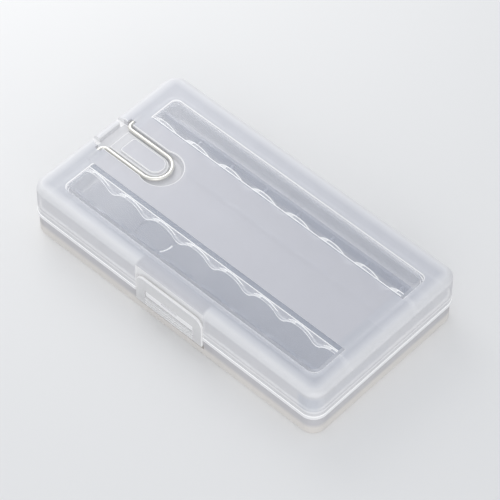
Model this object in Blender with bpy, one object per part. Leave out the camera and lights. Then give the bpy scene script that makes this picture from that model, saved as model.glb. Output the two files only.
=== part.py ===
# Battery case for a row of round cells, with a hinged lid, a front latch and a fold-out wire hook.
# X runs along the case from the hook end to the far end, Y from the latch to the hinge, Z up.
# The origin is the middle of the base's underside.

import math

import bmesh
import bpy
from mathutils import Matrix, Vector

MM = 0.001

# Cells that the case is made round
CELL_DIAMETER = 14.3 * MM
CELL_LENGTH = 50.5 * MM
CELL_COUNT = 8
CELL_SPACING_GAP = 0.65 * MM
CELL_END_PLAY = 0.6 * MM
CELL_SIDE_PLAY = 0.15 * MM
CELL_SEAT_PLAY = 0.15 * MM

# Room round the row of cells
HOOK_BAY = 3.8 * MM
SIDE_BAY = 5.7 * MM
CELL_LIFT = 1.95 * MM
HEAD_ROOM = 2.95 * MM

# Walls
FLOOR = 1.4 * MM
BASE_WALL = 1.0 * MM
LID_WALL = 1.3 * MM
LID_PLATE = 1.4 * MM
SKIRT = 0.55 * MM
CORNER_RADIUS = 5.4 * MM
TOP_ROUND = 2.3 * MM
BOTTOM_ROUND = 0.8 * MM
INNER_ROUND = 1.2 * MM

# The seam between base and lid
SEAM_HEIGHT = 8.4 * MM
UPSTAND = 3.35 * MM
LID_OVERHANG = 0.55 * MM
RIM_PROUD = 0.2 * MM
RIM_HEIGHT = 1.5 * MM
RIM_EDGE = 0.12 * MM

# Gap kept between pieces that meet or turn on each other
FIT = 0.3 * MM

# Depth that a rib or a boss is sunk into the wall that carries it
ROOT = 0.4 * MM

# How far a cutter reaches past the face that it opens
OVERCUT = 1.0 * MM

# Ribs
CRADLE_THICKNESS = 1.3 * MM
CRADLE_SPACING = 31.3 * MM
CRADLE_WRAP = 1.05 * MM
STOP_THICKNESS = 1.2 * MM
STOP_HEIGHT = 9.0 * MM
FIN_THICKNESS = 0.9 * MM
FIN_LENGTH = 2.4 * MM
FIN_BELOW_AXIS = 2.5 * MM
RAIL_DEPTH = 3.55 * MM
RAIL_ARCH_PLAY = 0.25 * MM
RAIL_ARCH_ROOF = 0.2 * MM
FRAME_DEPTH = 2.6 * MM
FRAME_THICKNESS = 1.1 * MM
FRAME_CORNER = 2.4 * MM

# Clear windows in the lid
WINDOW_LENGTH = 109.6 * MM
WINDOW_SPREAD = 51.4 * MM
WINDOW_SINK = 0.3 * MM
WINDOW_PAST_FRAME = 2.4 * MM
PANEL_WIDTH = 27.0 * MM

# Round mark on the floor, by the boundary that follows this many cells
MARK_RADIUS = 7.1 * MM
MARK_LINE = 0.7 * MM
MARK_DEPTH = 0.3 * MM
MARK_FROM_FRONT_STOP = 16.1 * MM
MARK_AFTER_COUNT = 2
MARK_BEFORE_BOUNDARY = 1.5 * MM

# Wire hook
WIRE = 1.3 * MM
HOOK_WIDTH = 11.3 * MM
HOOK_REACH = 23.9 * MM
HOOK_FROM_END = 5.7 * MM
HOOK_END_LENGTH = 6.6 * MM
HOOK_BEND = 1.9 * MM
HOOK_DEPTH = 1.1 * MM
HOOK_END_PLAY = 0.5 * MM
WIRE_BORE_PLAY = 0.2 * MM
GROOVE_SIDE = 0.55 * MM
GROOVE_WALL = 0.9 * MM
END_SHOWN = 1.65 * MM
TRENCH_BEFORE_PIVOT = 2.6 * MM
ISLAND_FROM_PIVOT = 1.5 * MM
ISLAND_SINK = 1.0 * MM
ISLAND_PAD_FROM_PIVOT = 5.3 * MM
ISLAND_PAD_INSET = 0.9 * MM
ISLAND_PAD_SINK = 0.2 * MM
THUMB_RADIUS = 7.5 * MM
THUMB_FROM_BEND = 2.65 * MM
BOSS_WALL = 0.75 * MM

# Latch clip, hinged at the foot of the base's front wall
CLIP_WIDTH = 29.2 * MM
CLIP_TOP = 17.3 * MM
CLIP_BOTTOM = 4.5 * MM
CLIP_THICKNESS = 1.1 * MM
CLIP_PROUD = 0.1 * MM
CLIP_CORNER = 3.6 * MM
CLIP_FOOT_CORNER = 0.6 * MM
CLIP_WINDOW_WIDTH = 21.2 * MM
CLIP_WINDOW_BOTTOM = 8.7 * MM
CLIP_WINDOW_HEIGHT = 3.2 * MM
CLIP_RELIEF = 0.35 * MM
CLIP_RELIEF_BOTTOM = 12.8 * MM
CLIP_BARREL_RADIUS = 0.9 * MM
CLIP_AXIS_BEHIND = 0.7 * MM
CLIP_AXIS_ABOVE_FOOT = 0.7 * MM
CLIP_PIN_RADIUS = 0.5 * MM
CLIP_PIN_LENGTH = 1.5 * MM
CLIP_BACK_GAP = 0.4 * MM
GRIP_GROOVE = 0.4 * MM
GRIP_COUNT = 3
GRIP_PITCH = 1.3 * MM
GRIP_FROM_FOOT = 0.6 * MM
RECESS_BELOW_TOP = 1.1 * MM
LEDGE_HOLD = 0.8 * MM
BUMP_WIDTH = 6.8 * MM
BUMP_HEIGHT = 0.6 * MM
BUMP_PROUD = 0.2 * MM
PAD_WALL = 1.2 * MM
SOCKET_END = 1.1 * MM

# Hinge along the rear
HINGE_RADIUS = 2.0 * MM
HINGE_BEHIND = 2.5 * MM
HINGE_PIN_RADIUS = 1.0 * MM
HINGE_PIN_LENGTH = 2.2 * MM
HINGE_SPACING = 68.0 * MM
KNUCKLE_LENGTH = 14.0 * MM
LUG_THICKNESS = 3.2 * MM
LUG_FOOT = 4.2 * MM

# Faces round a turned or rounded form
CORNER_SEGMENTS = 6
EDGE_SEGMENTS = 4
ROUND_SEGMENTS = 28
LARGE_ROUND_SEGMENTS = 48
SCALLOP_STEPS = 10
TOOTH_STEPS = 6
EYE_STEPS = 14
SWEEP_STEPS = 14
BULLET_STEPS = 20
CLIP_CORNER_STEPS = 8
CLIP_FOOT_STEPS = 4
WIRE_CORNER_STEPS = 5
WIRE_BEND_STEPS = 12
WIRE_RESOLUTION = 4

# Where the round parts of the hinge and of the clip's pocket start and end, in degrees
LUG_EYE = (130, -60)
KNUCKLE_EYE = (-150, 60)
CLIP_SWEEP_ARC = (170, 285)

# Edges that turn more than this are drawn sharp, in degrees
SHARP_EDGE = 30

# How near two levels or two corners are when they count as one
CLOSE = 0.001 * MM
WELD = 0.002 * MM

# Places worked out from the values above
PITCH = CELL_DIAMETER + CELL_SPACING_GAP
ROW_LENGTH = CELL_COUNT * PITCH - CELL_SPACING_GAP
BASE_INNER_LENGTH = HOOK_BAY + ROW_LENGTH + CELL_SIDE_PLAY
BASE_LENGTH = BASE_INNER_LENGTH + 2 * BASE_WALL
CASE_LENGTH = BASE_LENGTH + 2 * LID_OVERHANG
STOP_FACE = CELL_LENGTH / 2 + CELL_END_PLAY
BASE_INNER_WIDTH = 2 * (STOP_FACE + STOP_THICKNESS + SIDE_BAY)
BASE_WIDTH = BASE_INNER_WIDTH + 2 * BASE_WALL
CASE_WIDTH = BASE_WIDTH + 2 * LID_OVERHANG
CELL_RADIUS = CELL_DIAMETER / 2
CELL_AXIS = FLOOR + CELL_LIFT + CELL_RADIUS
PLATE_UNDERSIDE = FLOOR + CELL_LIFT + CELL_DIAMETER + HEAD_ROOM
CASE_HEIGHT = PLATE_UNDERSIDE + LID_PLATE
ROW_END = BASE_INNER_LENGTH / 2 - CELL_SIDE_PLAY
FIRST_CELL = ROW_END - CELL_RADIUS - (CELL_COUNT - 1) * PITCH
BASE_TOP = SEAM_HEIGHT - FIT
UPSTAND_TOP = SEAM_HEIGHT + UPSTAND
HOOK_END = -CASE_LENGTH / 2
LID_LENGTH = CASE_LENGTH - 2 * RIM_PROUD
LID_WIDTH = CASE_WIDTH - 2 * RIM_PROUD
LID_FRONT = -LID_WIDTH / 2
LID_REAR = LID_WIDTH / 2
BASE_FRONT = -BASE_WIDTH / 2
BASE_REAR = BASE_WIDTH / 2

HOOK_AXIS_X = HOOK_END + HOOK_FROM_END
HOOK_AXIS_Z = CASE_HEIGHT - HOOK_DEPTH
GROOVE_FLOOR = HOOK_AXIS_Z - WIRE / 2 - FIT
GROOVE_HALF = HOOK_WIDTH / 2 + WIRE / 2 + GROOVE_SIDE
ISLAND_HALF = HOOK_WIDTH / 2 - WIRE / 2 - GROOVE_SIDE
HOOK_TRAY_BOTTOM = GROOVE_FLOOR - GROOVE_WALL
TRENCH_START = HOOK_AXIS_X - TRENCH_BEFORE_PIVOT
BEND_CENTRE_X = HOOK_AXIS_X + HOOK_REACH - HOOK_WIDTH / 2
THUMB_CENTRE_X = BEND_CENTRE_X + THUMB_FROM_BEND
WIRE_BORE_RADIUS = WIRE / 2 + WIRE_BORE_PLAY
HOOK_BORE_REACH = HOOK_WIDTH / 2 + HOOK_END_LENGTH + HOOK_END_PLAY

CLIP_OUTER = -CASE_WIDTH / 2 - CLIP_PROUD
CLIP_INNER = CLIP_OUTER + CLIP_THICKNESS
CLIP_AXIS_Y = CLIP_INNER + CLIP_AXIS_BEHIND
CLIP_AXIS_Z = CLIP_BOTTOM + CLIP_AXIS_ABOVE_FOOT
CLIP_WINDOW_TOP = CLIP_WINDOW_BOTTOM + CLIP_WINDOW_HEIGHT
CLIP_SWEEP = math.hypot(CLIP_AXIS_Y - CLIP_OUTER, CLIP_AXIS_ABOVE_FOOT) + FIT
RECESS_HALF = CLIP_WIDTH / 2 + FIT
RECESS_TOP = CASE_HEIGHT - RECESS_BELOW_TOP
LID_RECESS_FACE = CLIP_INNER + CLIP_BACK_GAP
LID_PAD_BACK = LID_RECESS_FACE + PAD_WALL
LID_PAD_HALF = RECESS_HALF + PAD_WALL
BASE_RECESS_FACE = CLIP_INNER + FIT
BASE_PAD_BACK = CLIP_AXIS_Y + CLIP_BARREL_RADIUS + FIT + PAD_WALL
BASE_PAD_HALF = RECESS_HALF + CLIP_PIN_LENGTH + SOCKET_END
LEDGE_FRONT = CLIP_INNER - LEDGE_HOLD

HINGE_Y = CASE_WIDTH / 2 + HINGE_BEHIND
HINGE_Z = SEAM_HEIGHT

COLLECTION = bpy.data.collections.new("battery_case")


# Ground work: materials, meshes and the tools that shape them

def clear_scene():
    for piece in list(bpy.data.objects):
        bpy.data.objects.remove(piece)
    bpy.context.scene.collection.children.link(COLLECTION)


def make_material(name, colour, roughness, metallic, alpha=1.0):
    material = bpy.data.materials.new(name)
    material.use_nodes = True
    shader = material.node_tree.nodes["Principled BSDF"]
    shader.inputs["Base Color"].default_value = (*colour, 1.0)
    shader.inputs["Roughness"].default_value = roughness
    shader.inputs["Metallic"].default_value = metallic
    shader.inputs["Alpha"].default_value = alpha
    return material


def object_from(shape, name):
    mesh = bpy.data.meshes.new(name)
    shape.to_mesh(mesh)
    shape.free()
    piece = bpy.data.objects.new(name, mesh)
    COLLECTION.objects.link(piece)
    return piece


def block(name, x_range, y_range, z_range):
    shape = bmesh.new()
    bmesh.ops.create_cube(shape, size=1.0)
    size = [high - low for low, high in (x_range, y_range, z_range)]
    middle = [(high + low) / 2 for low, high in (x_range, y_range, z_range)]
    bmesh.ops.scale(shape, vec=size, verts=shape.verts)
    bmesh.ops.translate(shape, vec=middle, verts=shape.verts)
    return object_from(shape, name)


def edges_at_height(shape, height):
    return [edge for edge in shape.edges if all(abs(corner.co.z - height) < CLOSE for corner in edge.verts)]


def upright_edges(shape):
    chosen = []
    for edge in shape.edges:
        along = edge.verts[0].co - edge.verts[1].co
        if abs(along.x) < CLOSE and abs(along.y) < CLOSE:
            chosen.append(edge)
    return chosen


def round_edges(shape, edges, radius, segments):
    bmesh.ops.bevel(
        shape, geom=edges, offset=radius, offset_type="OFFSET", affect="EDGES", segments=segments,
        profile=0.5, material=-1, clamp_overlap=True,
    )


def tray(name, length, width, z_range, radius, top_round=0.0, bottom_round=0.0):
    # A block with round upright corners, and a rounded top or bottom edge where one is given
    low, high = z_range
    shape = bmesh.new()
    bmesh.ops.create_cube(shape, size=1.0)
    bmesh.ops.scale(shape, vec=(length, width, high - low), verts=shape.verts)
    bmesh.ops.translate(shape, vec=(0.0, 0.0, (high + low) / 2), verts=shape.verts)
    round_edges(shape, upright_edges(shape), radius, CORNER_SEGMENTS)
    if top_round > 0.0:
        round_edges(shape, edges_at_height(shape, high), top_round, EDGE_SEGMENTS)
    if bottom_round > 0.0:
        round_edges(shape, edges_at_height(shape, low), bottom_round, EDGE_SEGMENTS)
    return object_from(shape, name)


def rod(name, start, end, radius, segments=ROUND_SEGMENTS):
    # A round bar between two points
    start = Vector(start)
    end = Vector(end)
    along = end - start
    shape = bmesh.new()
    bmesh.ops.create_cone(
        shape, cap_ends=True, cap_tris=False, segments=segments, radius1=radius, radius2=radius,
        depth=along.length,
    )
    turn = along.to_track_quat("Z", "Y").to_matrix().to_4x4()
    bmesh.ops.transform(shape, matrix=Matrix.Translation((start + end) / 2) @ turn, verts=shape.verts)
    return object_from(shape, name)


def arc(centre, radius, first_degrees, last_degrees, steps):
    points = []
    for step in range(steps + 1):
        angle = math.radians(first_degrees + (last_degrees - first_degrees) * step / steps)
        points.append((centre[0] + radius * math.cos(angle), centre[1] + radius * math.sin(angle)))
    return points


def mesh_from_curve(curve_object, name):
    graph = bpy.context.evaluated_depsgraph_get()
    mesh = bpy.data.meshes.new_from_object(curve_object.evaluated_get(graph))
    shape = bmesh.new()
    shape.from_mesh(mesh)
    bmesh.ops.remove_doubles(shape, verts=shape.verts, dist=CLOSE)
    bmesh.ops.recalc_face_normals(shape, faces=shape.faces)
    bpy.data.meshes.remove(mesh)
    piece = object_from(shape, name)
    piece.matrix_world = curve_object.matrix_world
    bpy.data.objects.remove(curve_object)
    return piece


def plate(name, outline, low, high, turn=Matrix.Identity(4)):
    # A flat outline given thickness between two levels, then turned into place
    curve = bpy.data.curves.new(name, "CURVE")
    curve.dimensions = "2D"
    curve.fill_mode = "BOTH"
    curve.extrude = (high - low) / 2
    line = curve.splines.new("POLY")
    line.points.add(len(outline) - 1)
    for point, place in zip(line.points, outline):
        point.co = (place[0], place[1], 0.0, 1.0)
    line.use_cyclic_u = True
    curve_object = bpy.data.objects.new(name, curve)
    COLLECTION.objects.link(curve_object)
    curve_object.matrix_world = turn @ Matrix.Translation((0.0, 0.0, (high + low) / 2))
    bpy.context.view_layer.update()
    piece = mesh_from_curve(curve_object, name)
    settle_place(piece)
    return piece


def settle_place(piece):
    piece.data.transform(piece.matrix_world)
    piece.matrix_world = Matrix.Identity(4)


def boolean(body, tool, operation):
    change = body.modifiers.new("change", "BOOLEAN")
    change.operation = operation
    change.solver = "EXACT"
    change.object = tool
    graph = bpy.context.evaluated_depsgraph_get()
    mesh = bpy.data.meshes.new_from_object(body.evaluated_get(graph))
    body.modifiers.clear()
    old_mesh = body.data
    body.data = mesh
    bpy.data.meshes.remove(old_mesh)
    bpy.data.objects.remove(tool)


def add(body, *tools):
    for tool in tools:
        boolean(body, tool, "UNION")


def cut(body, *tools):
    for tool in tools:
        boolean(body, tool, "DIFFERENCE")


def finish(piece, name, material, origin=(0.0, 0.0, 0.0)):
    # Names the piece, gives it its material and puts its origin on the axis that it turns on
    piece.name = name
    piece.data.name = name
    shape = bmesh.new()
    shape.from_mesh(piece.data)
    bmesh.ops.remove_doubles(shape, verts=shape.verts, dist=WELD)
    bmesh.ops.dissolve_degenerate(shape, dist=WELD, edges=shape.edges)
    shape.to_mesh(piece.data)
    shape.free()
    piece.data.transform(Matrix.Translation(-Vector(origin)))
    piece.location = origin
    piece.data.materials.clear()
    piece.data.materials.append(material)
    piece.data.shade_smooth()
    piece.data.set_sharp_from_angle(angle=math.radians(SHARP_EDGE))
    return piece


def cell_places():
    return [FIRST_CELL + PITCH * index for index in range(CELL_COUNT)]


def boundary_places():
    return [place + PITCH / 2 for place in cell_places()[:-1]]


def scalloped_edge(radius, tip_distance):
    # Round arches over the cells with round teeth between them, as X and height over the cells' axis
    tooth_radius = ((PITCH / 2) ** 2 + tip_distance ** 2 - radius ** 2) / (2 * (radius - tip_distance))
    tooth_height = tip_distance + tooth_radius
    meeting = math.degrees(math.atan2(tooth_height, PITCH / 2))
    first_tooth = (FIRST_CELL - PITCH / 2, tooth_height)
    points = arc(first_tooth, tooth_radius, 270, 360 - meeting, TOOTH_STEPS // 2)
    for index, place in enumerate(cell_places()):
        points += arc((place, 0.0), radius, 180 - meeting, meeting, SCALLOP_STEPS)[1:]
        last = index == CELL_COUNT - 1
        tooth_end = 270 if last else 360 - meeting
        steps = TOOTH_STEPS // 2 if last else TOOTH_STEPS
        points += arc((place + PITCH / 2, tooth_height), tooth_radius, 180 + meeting, tooth_end, steps)[1:]
    return points


def front_profile(name, outline, y_range):
    # A plate whose outline is drawn in X and Z and whose thickness lies along Y
    turn = Matrix(((1, 0, 0, 0), (0, 0, 1, 0), (0, 1, 0, 0), (0, 0, 0, 1)))
    return plate(name, outline, y_range[0], y_range[1], turn)


def side_profile(name, outline, x_range):
    # A plate whose outline is drawn in Y and Z and whose thickness lies along X
    turn = Matrix(((0, 0, 1, 0), (1, 0, 0, 0), (0, 1, 0, 0), (0, 0, 0, 1)))
    return plate(name, outline, x_range[0], x_range[1], turn)


# The base

def base_shell():
    shell = tray(
        "base", BASE_LENGTH, BASE_WIDTH, (0.0, BASE_TOP), CORNER_RADIUS - LID_OVERHANG,
        bottom_round=BOTTOM_ROUND,
    )
    gap = SKIRT + FIT
    upstand = tray(
        "upstand", LID_LENGTH - 2 * gap, LID_WIDTH - 2 * gap, (BASE_TOP - ROOT, UPSTAND_TOP),
        CORNER_RADIUS - RIM_PROUD - gap,
    )
    add(shell, upstand)
    hollow = tray(
        "hollow", BASE_INNER_LENGTH, BASE_INNER_WIDTH, (FLOOR, UPSTAND_TOP + OVERCUT),
        CORNER_RADIUS - LID_OVERHANG - BASE_WALL, bottom_round=INNER_ROUND,
    )
    cut(shell, hollow)
    return shell


def cradle_rib(side):
    # A low rib across the floor with a shallow seat for each cell
    middle = side * CRADLE_SPACING / 2
    y_range = (middle - CRADLE_THICKNESS / 2, middle + CRADLE_THICKNESS / 2)
    reach = BASE_INNER_LENGTH / 2 + ROOT
    radius = CELL_RADIUS + CELL_SEAT_PLAY
    top = CELL_AXIS - radius + CRADLE_WRAP
    spread = math.degrees(math.acos((CELL_AXIS - top) / radius))
    outline = [(-reach, top)]
    for place in cell_places():
        outline += arc((place, CELL_AXIS), radius, 270 - spread, 270 + spread, SCALLOP_STEPS)
    outline += [(reach, top), (reach, FLOOR - ROOT), (-reach, FLOOR - ROOT)]
    return front_profile("cradle", outline, y_range)


def end_stop(side):
    inner = STOP_FACE
    outer = STOP_FACE + STOP_THICKNESS
    y_range = (inner, outer) if side > 0 else (-outer, -inner)
    reach = BASE_INNER_LENGTH / 2 + ROOT
    return block("stop", (-reach, reach), y_range, (FLOOR - ROOT, STOP_HEIGHT))


def separator_fin(place, side):
    inner = STOP_FACE - FIN_LENGTH
    outer = STOP_FACE + ROOT
    y_range = (inner, outer) if side > 0 else (-outer, -inner)
    x_range = (place - FIN_THICKNESS / 2, place + FIN_THICKNESS / 2)
    return block("fin", x_range, y_range, (FLOOR - ROOT, CELL_AXIS - FIN_BELOW_AXIS))


def cut_round_mark(base):
    boundary = boundary_places()[MARK_AFTER_COUNT - 1]
    centre = (boundary - MARK_BEFORE_BOUNDARY, -STOP_FACE + MARK_FROM_FRONT_STOP)
    low = (*centre, FLOOR - MARK_DEPTH)
    high = (*centre, FLOOR + OVERCUT)
    ring = rod("mark", low, high, MARK_RADIUS, LARGE_ROUND_SEGMENTS)
    core_low = (*centre, FLOOR - MARK_DEPTH - OVERCUT)
    core_high = (*centre, FLOOR + 2 * OVERCUT)
    cut(ring, rod("mark_core", core_low, core_high, MARK_RADIUS - MARK_LINE, LARGE_ROUND_SEGMENTS))
    cut(base, ring)


def add_clip_seat(base):
    # The front wall steps in behind the clip, with a pocket for its barrel and sockets for its pins
    notch = block(
        "notch", (-LID_PAD_HALF - FIT, LID_PAD_HALF + FIT), (BASE_FRONT - OVERCUT, LID_PAD_BACK + FIT),
        (BASE_TOP, UPSTAND_TOP + OVERCUT),
    )
    cut(base, notch)
    pad = block(
        "pad", (-BASE_PAD_HALF, BASE_PAD_HALF), (BASE_FRONT + ROOT, BASE_PAD_BACK), (FLOOR - ROOT, BASE_TOP),
    )
    add(base, pad)
    recess = block(
        "recess", (-RECESS_HALF, RECESS_HALF), (BASE_FRONT - OVERCUT, BASE_RECESS_FACE),
        (CLIP_AXIS_Z, BASE_TOP + OVERCUT),
    )
    axis = (CLIP_AXIS_Y, CLIP_AXIS_Z)
    sweep = side_profile(
        "sweep", arc(axis, CLIP_SWEEP, *CLIP_SWEEP_ARC, SWEEP_STEPS) + [axis], (-RECESS_HALF, RECESS_HALF),
    )
    pocket = rod(
        "pocket", (-RECESS_HALF, *axis), (RECESS_HALF, *axis), CLIP_BARREL_RADIUS + FIT,
    )
    reach = RECESS_HALF + CLIP_PIN_LENGTH
    sockets = rod("sockets", (-reach, *axis), (reach, *axis), CLIP_PIN_RADIUS + FIT)
    cut(base, recess, sweep, pocket, sockets)


def hinge_stations():
    return [-HINGE_SPACING / 2, HINGE_SPACING / 2]


def hinge_lug(x_range):
    eye = arc((HINGE_Y, HINGE_Z), HINGE_RADIUS, *LUG_EYE, EYE_STEPS)
    foot = [
        (BASE_REAR - ROOT, SEAM_HEIGHT - HINGE_RADIUS - LUG_FOOT),
        (BASE_REAR - ROOT, BASE_TOP),
        (HINGE_Y - HINGE_RADIUS, BASE_TOP),
    ]
    return side_profile("lug", eye + foot, x_range)


def add_hinge_lugs(base):
    half = KNUCKLE_LENGTH / 2 + FIT
    for station in hinge_stations():
        for side in (-1, 1):
            near = station + side * half
            far = station + side * (half + LUG_THICKNESS)
            add(base, hinge_lug((min(near, far), max(near, far))))
        reach = half + HINGE_PIN_LENGTH
        start = (station - reach, HINGE_Y, HINGE_Z)
        end = (station + reach, HINGE_Y, HINGE_Z)
        cut(base, rod("bore", start, end, HINGE_PIN_RADIUS + FIT))


def make_base(material):
    base = base_shell()
    cut_round_mark(base)
    for side in (-1, 1):
        add(base, cradle_rib(side), end_stop(side))
        for place in boundary_places():
            add(base, separator_fin(place, side))
    add_clip_seat(base)
    add_hinge_lugs(base)
    return finish(base, "base_tray", material)


# The lid

def lid_shell():
    shell = tray(
        "lid", LID_LENGTH, LID_WIDTH, (SEAM_HEIGHT, CASE_HEIGHT), CORNER_RADIUS - RIM_PROUD,
        top_round=TOP_ROUND,
    )
    rim = tray(
        "rim", CASE_LENGTH, CASE_WIDTH, (SEAM_HEIGHT, SEAM_HEIGHT + RIM_HEIGHT), CORNER_RADIUS,
        top_round=RIM_EDGE,
    )
    add(shell, rim)
    hollow = tray(
        "hollow", LID_LENGTH - 2 * LID_WALL, LID_WIDTH - 2 * LID_WALL,
        (SEAM_HEIGHT - OVERCUT, PLATE_UNDERSIDE), CORNER_RADIUS - RIM_PROUD - LID_WALL,
        top_round=INNER_ROUND,
    )
    rebate = tray(
        "rebate", LID_LENGTH - 2 * SKIRT, LID_WIDTH - 2 * SKIRT, (SEAM_HEIGHT - OVERCUT, UPSTAND_TOP + FIT),
        CORNER_RADIUS - RIM_PROUD - SKIRT,
    )
    cut(shell, hollow, rebate)
    return shell


def scalloped_rail(side):
    # Hangs from the lid over the cells and dips between them
    middle = side * CRADLE_SPACING / 2
    y_range = (middle - CRADLE_THICKNESS / 2, middle + CRADLE_THICKNESS / 2)
    reach = LID_LENGTH / 2 - LID_WALL + ROOT
    radius = CELL_RADIUS + RAIL_ARCH_PLAY
    arch_axis = PLATE_UNDERSIDE - RAIL_ARCH_ROOF - radius
    tip = PLATE_UNDERSIDE - RAIL_DEPTH
    edge = scalloped_edge(radius, tip - arch_axis)
    bottom = [(x, arch_axis + height) for x, height in edge if abs(x) < reach]
    top = PLATE_UNDERSIDE + ROOT
    outline = [(-reach, tip)] + bottom + [(reach, tip), (reach, top), (-reach, top)]
    return front_profile("rail", outline, y_range)


def window_frame():
    # A rib under the lid along the outer edges of the windows
    z_range = (PLATE_UNDERSIDE - FRAME_DEPTH, PLATE_UNDERSIDE + ROOT)
    wider = 2 * FRAME_THICKNESS
    frame = tray(
        "frame", WINDOW_LENGTH + wider, WINDOW_SPREAD + wider, z_range, FRAME_CORNER + FRAME_THICKNESS,
    )
    inside_range = (z_range[0] - OVERCUT, z_range[1] + OVERCUT)
    cut(frame, tray("inside", WINDOW_LENGTH, WINDOW_SPREAD, inside_range, FRAME_CORNER))
    return frame


def cut_windows(lid):
    # The clear windows lie a little below the frosted panel between them and the border round them
    z_range = (CASE_HEIGHT - WINDOW_SINK, CASE_HEIGHT + OVERCUT)
    wider = 2 * WINDOW_PAST_FRAME
    windows = tray(
        "windows", WINDOW_LENGTH + wider, WINDOW_SPREAD + wider, z_range, FRAME_CORNER + WINDOW_PAST_FRAME,
    )
    reach = WINDOW_LENGTH / 2 + WINDOW_PAST_FRAME + OVERCUT
    panel = block(
        "panel", (-reach, reach), (-PANEL_WIDTH / 2, PANEL_WIDTH / 2),
        (z_range[0] - OVERCUT, z_range[1] + OVERCUT),
    )
    cut(windows, panel)
    cut(lid, windows)


def bullet_outline(start_x, centre_x, half_width):
    # Straight sides from start_x that end in a half circle round centre_x
    outline = arc((centre_x, 0.0), half_width, -90, 90, BULLET_STEPS)
    outline.append((start_x, half_width))
    outline.append((start_x, -half_width))
    return outline


def add_hook_seat(lid):
    # A shallow tray under the plate, with a groove for the wire round a raised island
    tray_start = TRENCH_START - GROOVE_WALL
    seat = plate(
        "seat", bullet_outline(tray_start, THUMB_CENTRE_X, THUMB_RADIUS + GROOVE_WALL),
        HOOK_TRAY_BOTTOM, PLATE_UNDERSIDE + ROOT,
    )
    boss_reach = WIRE_BORE_RADIUS + BOSS_WALL
    boss_half = HOOK_BORE_REACH + BOSS_WALL
    boss = block(
        "boss", (HOOK_AXIS_X - boss_reach, HOOK_AXIS_X + boss_reach), (-boss_half, boss_half),
        (HOOK_AXIS_Z - boss_reach, PLATE_UNDERSIDE + ROOT),
    )
    end_pad_half = GROOVE_HALF + GROOVE_WALL
    end_pad = block(
        "end_pad", (HOOK_END + RIM_PROUD + ROOT, tray_start + OVERCUT), (-end_pad_half, end_pad_half),
        (HOOK_TRAY_BOTTOM, PLATE_UNDERSIDE + ROOT),
    )
    add(lid, seat, boss, end_pad)
    cut(lid, hook_groove())
    for side in (-1, 1):
        middle = side * HOOK_WIDTH / 2
        half = WIRE / 2 + FIT
        open_range = (GROOVE_FLOOR, CASE_HEIGHT + OVERCUT)
        slot = block("slot", (HOOK_END - OVERCUT, HOOK_AXIS_X), (middle - half, middle + half), open_range)
        pocket_half = WIRE / 2 + GROOVE_SIDE
        pocket_end = side * (GROOVE_HALF + END_SHOWN)
        pocket = block(
            "pocket", (HOOK_AXIS_X - pocket_half, HOOK_AXIS_X + pocket_half),
            (min(middle, pocket_end), max(middle, pocket_end)), open_range,
        )
        bore = rod(
            "bore", (HOOK_AXIS_X, middle, HOOK_AXIS_Z), (HOOK_AXIS_X, side * HOOK_BORE_REACH, HOOK_AXIS_Z),
            WIRE_BORE_RADIUS,
        )
        cut(lid, slot, pocket, bore)


def hook_groove():
    # What is cut out of the lid: the trench, the groove round the island and the thumb hollow
    top = CASE_HEIGHT + OVERCUT
    groove = plate("groove", bullet_outline(TRENCH_START, BEND_CENTRE_X, GROOVE_HALF), GROOVE_FLOOR, top)
    thumb = rod(
        "thumb", (THUMB_CENTRE_X, 0.0, GROOVE_FLOOR), (THUMB_CENTRE_X, 0.0, top),
        THUMB_RADIUS, LARGE_ROUND_SEGMENTS,
    )
    add(groove, thumb)
    island = plate(
        "island", bullet_outline(HOOK_AXIS_X + ISLAND_FROM_PIVOT, BEND_CENTRE_X, ISLAND_HALF),
        GROOVE_FLOOR - OVERCUT, CASE_HEIGHT - ISLAND_SINK,
    )
    pad = plate(
        "island_pad",
        bullet_outline(HOOK_AXIS_X + ISLAND_PAD_FROM_PIVOT, BEND_CENTRE_X, ISLAND_HALF - ISLAND_PAD_INSET),
        CASE_HEIGHT - ISLAND_SINK - ROOT, CASE_HEIGHT - ISLAND_PAD_SINK,
    )
    add(island, pad)
    cut(groove, island)
    return groove


def add_latch_recess(lid):
    # The front wall steps in behind the clip, and a ledge stands out of it into the clip's window
    pad = block(
        "pad", (-LID_PAD_HALF, LID_PAD_HALF), (LID_FRONT + LID_WALL - ROOT, LID_PAD_BACK),
        (SEAM_HEIGHT, PLATE_UNDERSIDE + ROOT),
    )
    add(lid, pad)
    recess = block(
        "recess", (-RECESS_HALF, RECESS_HALF), (-CASE_WIDTH / 2 - OVERCUT, LID_RECESS_FACE),
        (SEAM_HEIGHT - OVERCUT, RECESS_TOP),
    )
    cut(lid, recess)
    ledge_half = CLIP_WINDOW_WIDTH / 2 - FIT
    ledge_top = CLIP_WINDOW_TOP - FIT
    ledge = block(
        "ledge", (-ledge_half, ledge_half), (LEDGE_FRONT, LID_RECESS_FACE + ROOT),
        (CLIP_WINDOW_BOTTOM + FIT, ledge_top),
    )
    bump = block(
        "bump", (-BUMP_WIDTH / 2, BUMP_WIDTH / 2), (LEDGE_FRONT - BUMP_PROUD, LEDGE_FRONT + ROOT),
        (ledge_top - BUMP_HEIGHT - FIT, ledge_top - FIT),
    )
    add(ledge, bump)
    add(lid, ledge)


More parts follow.
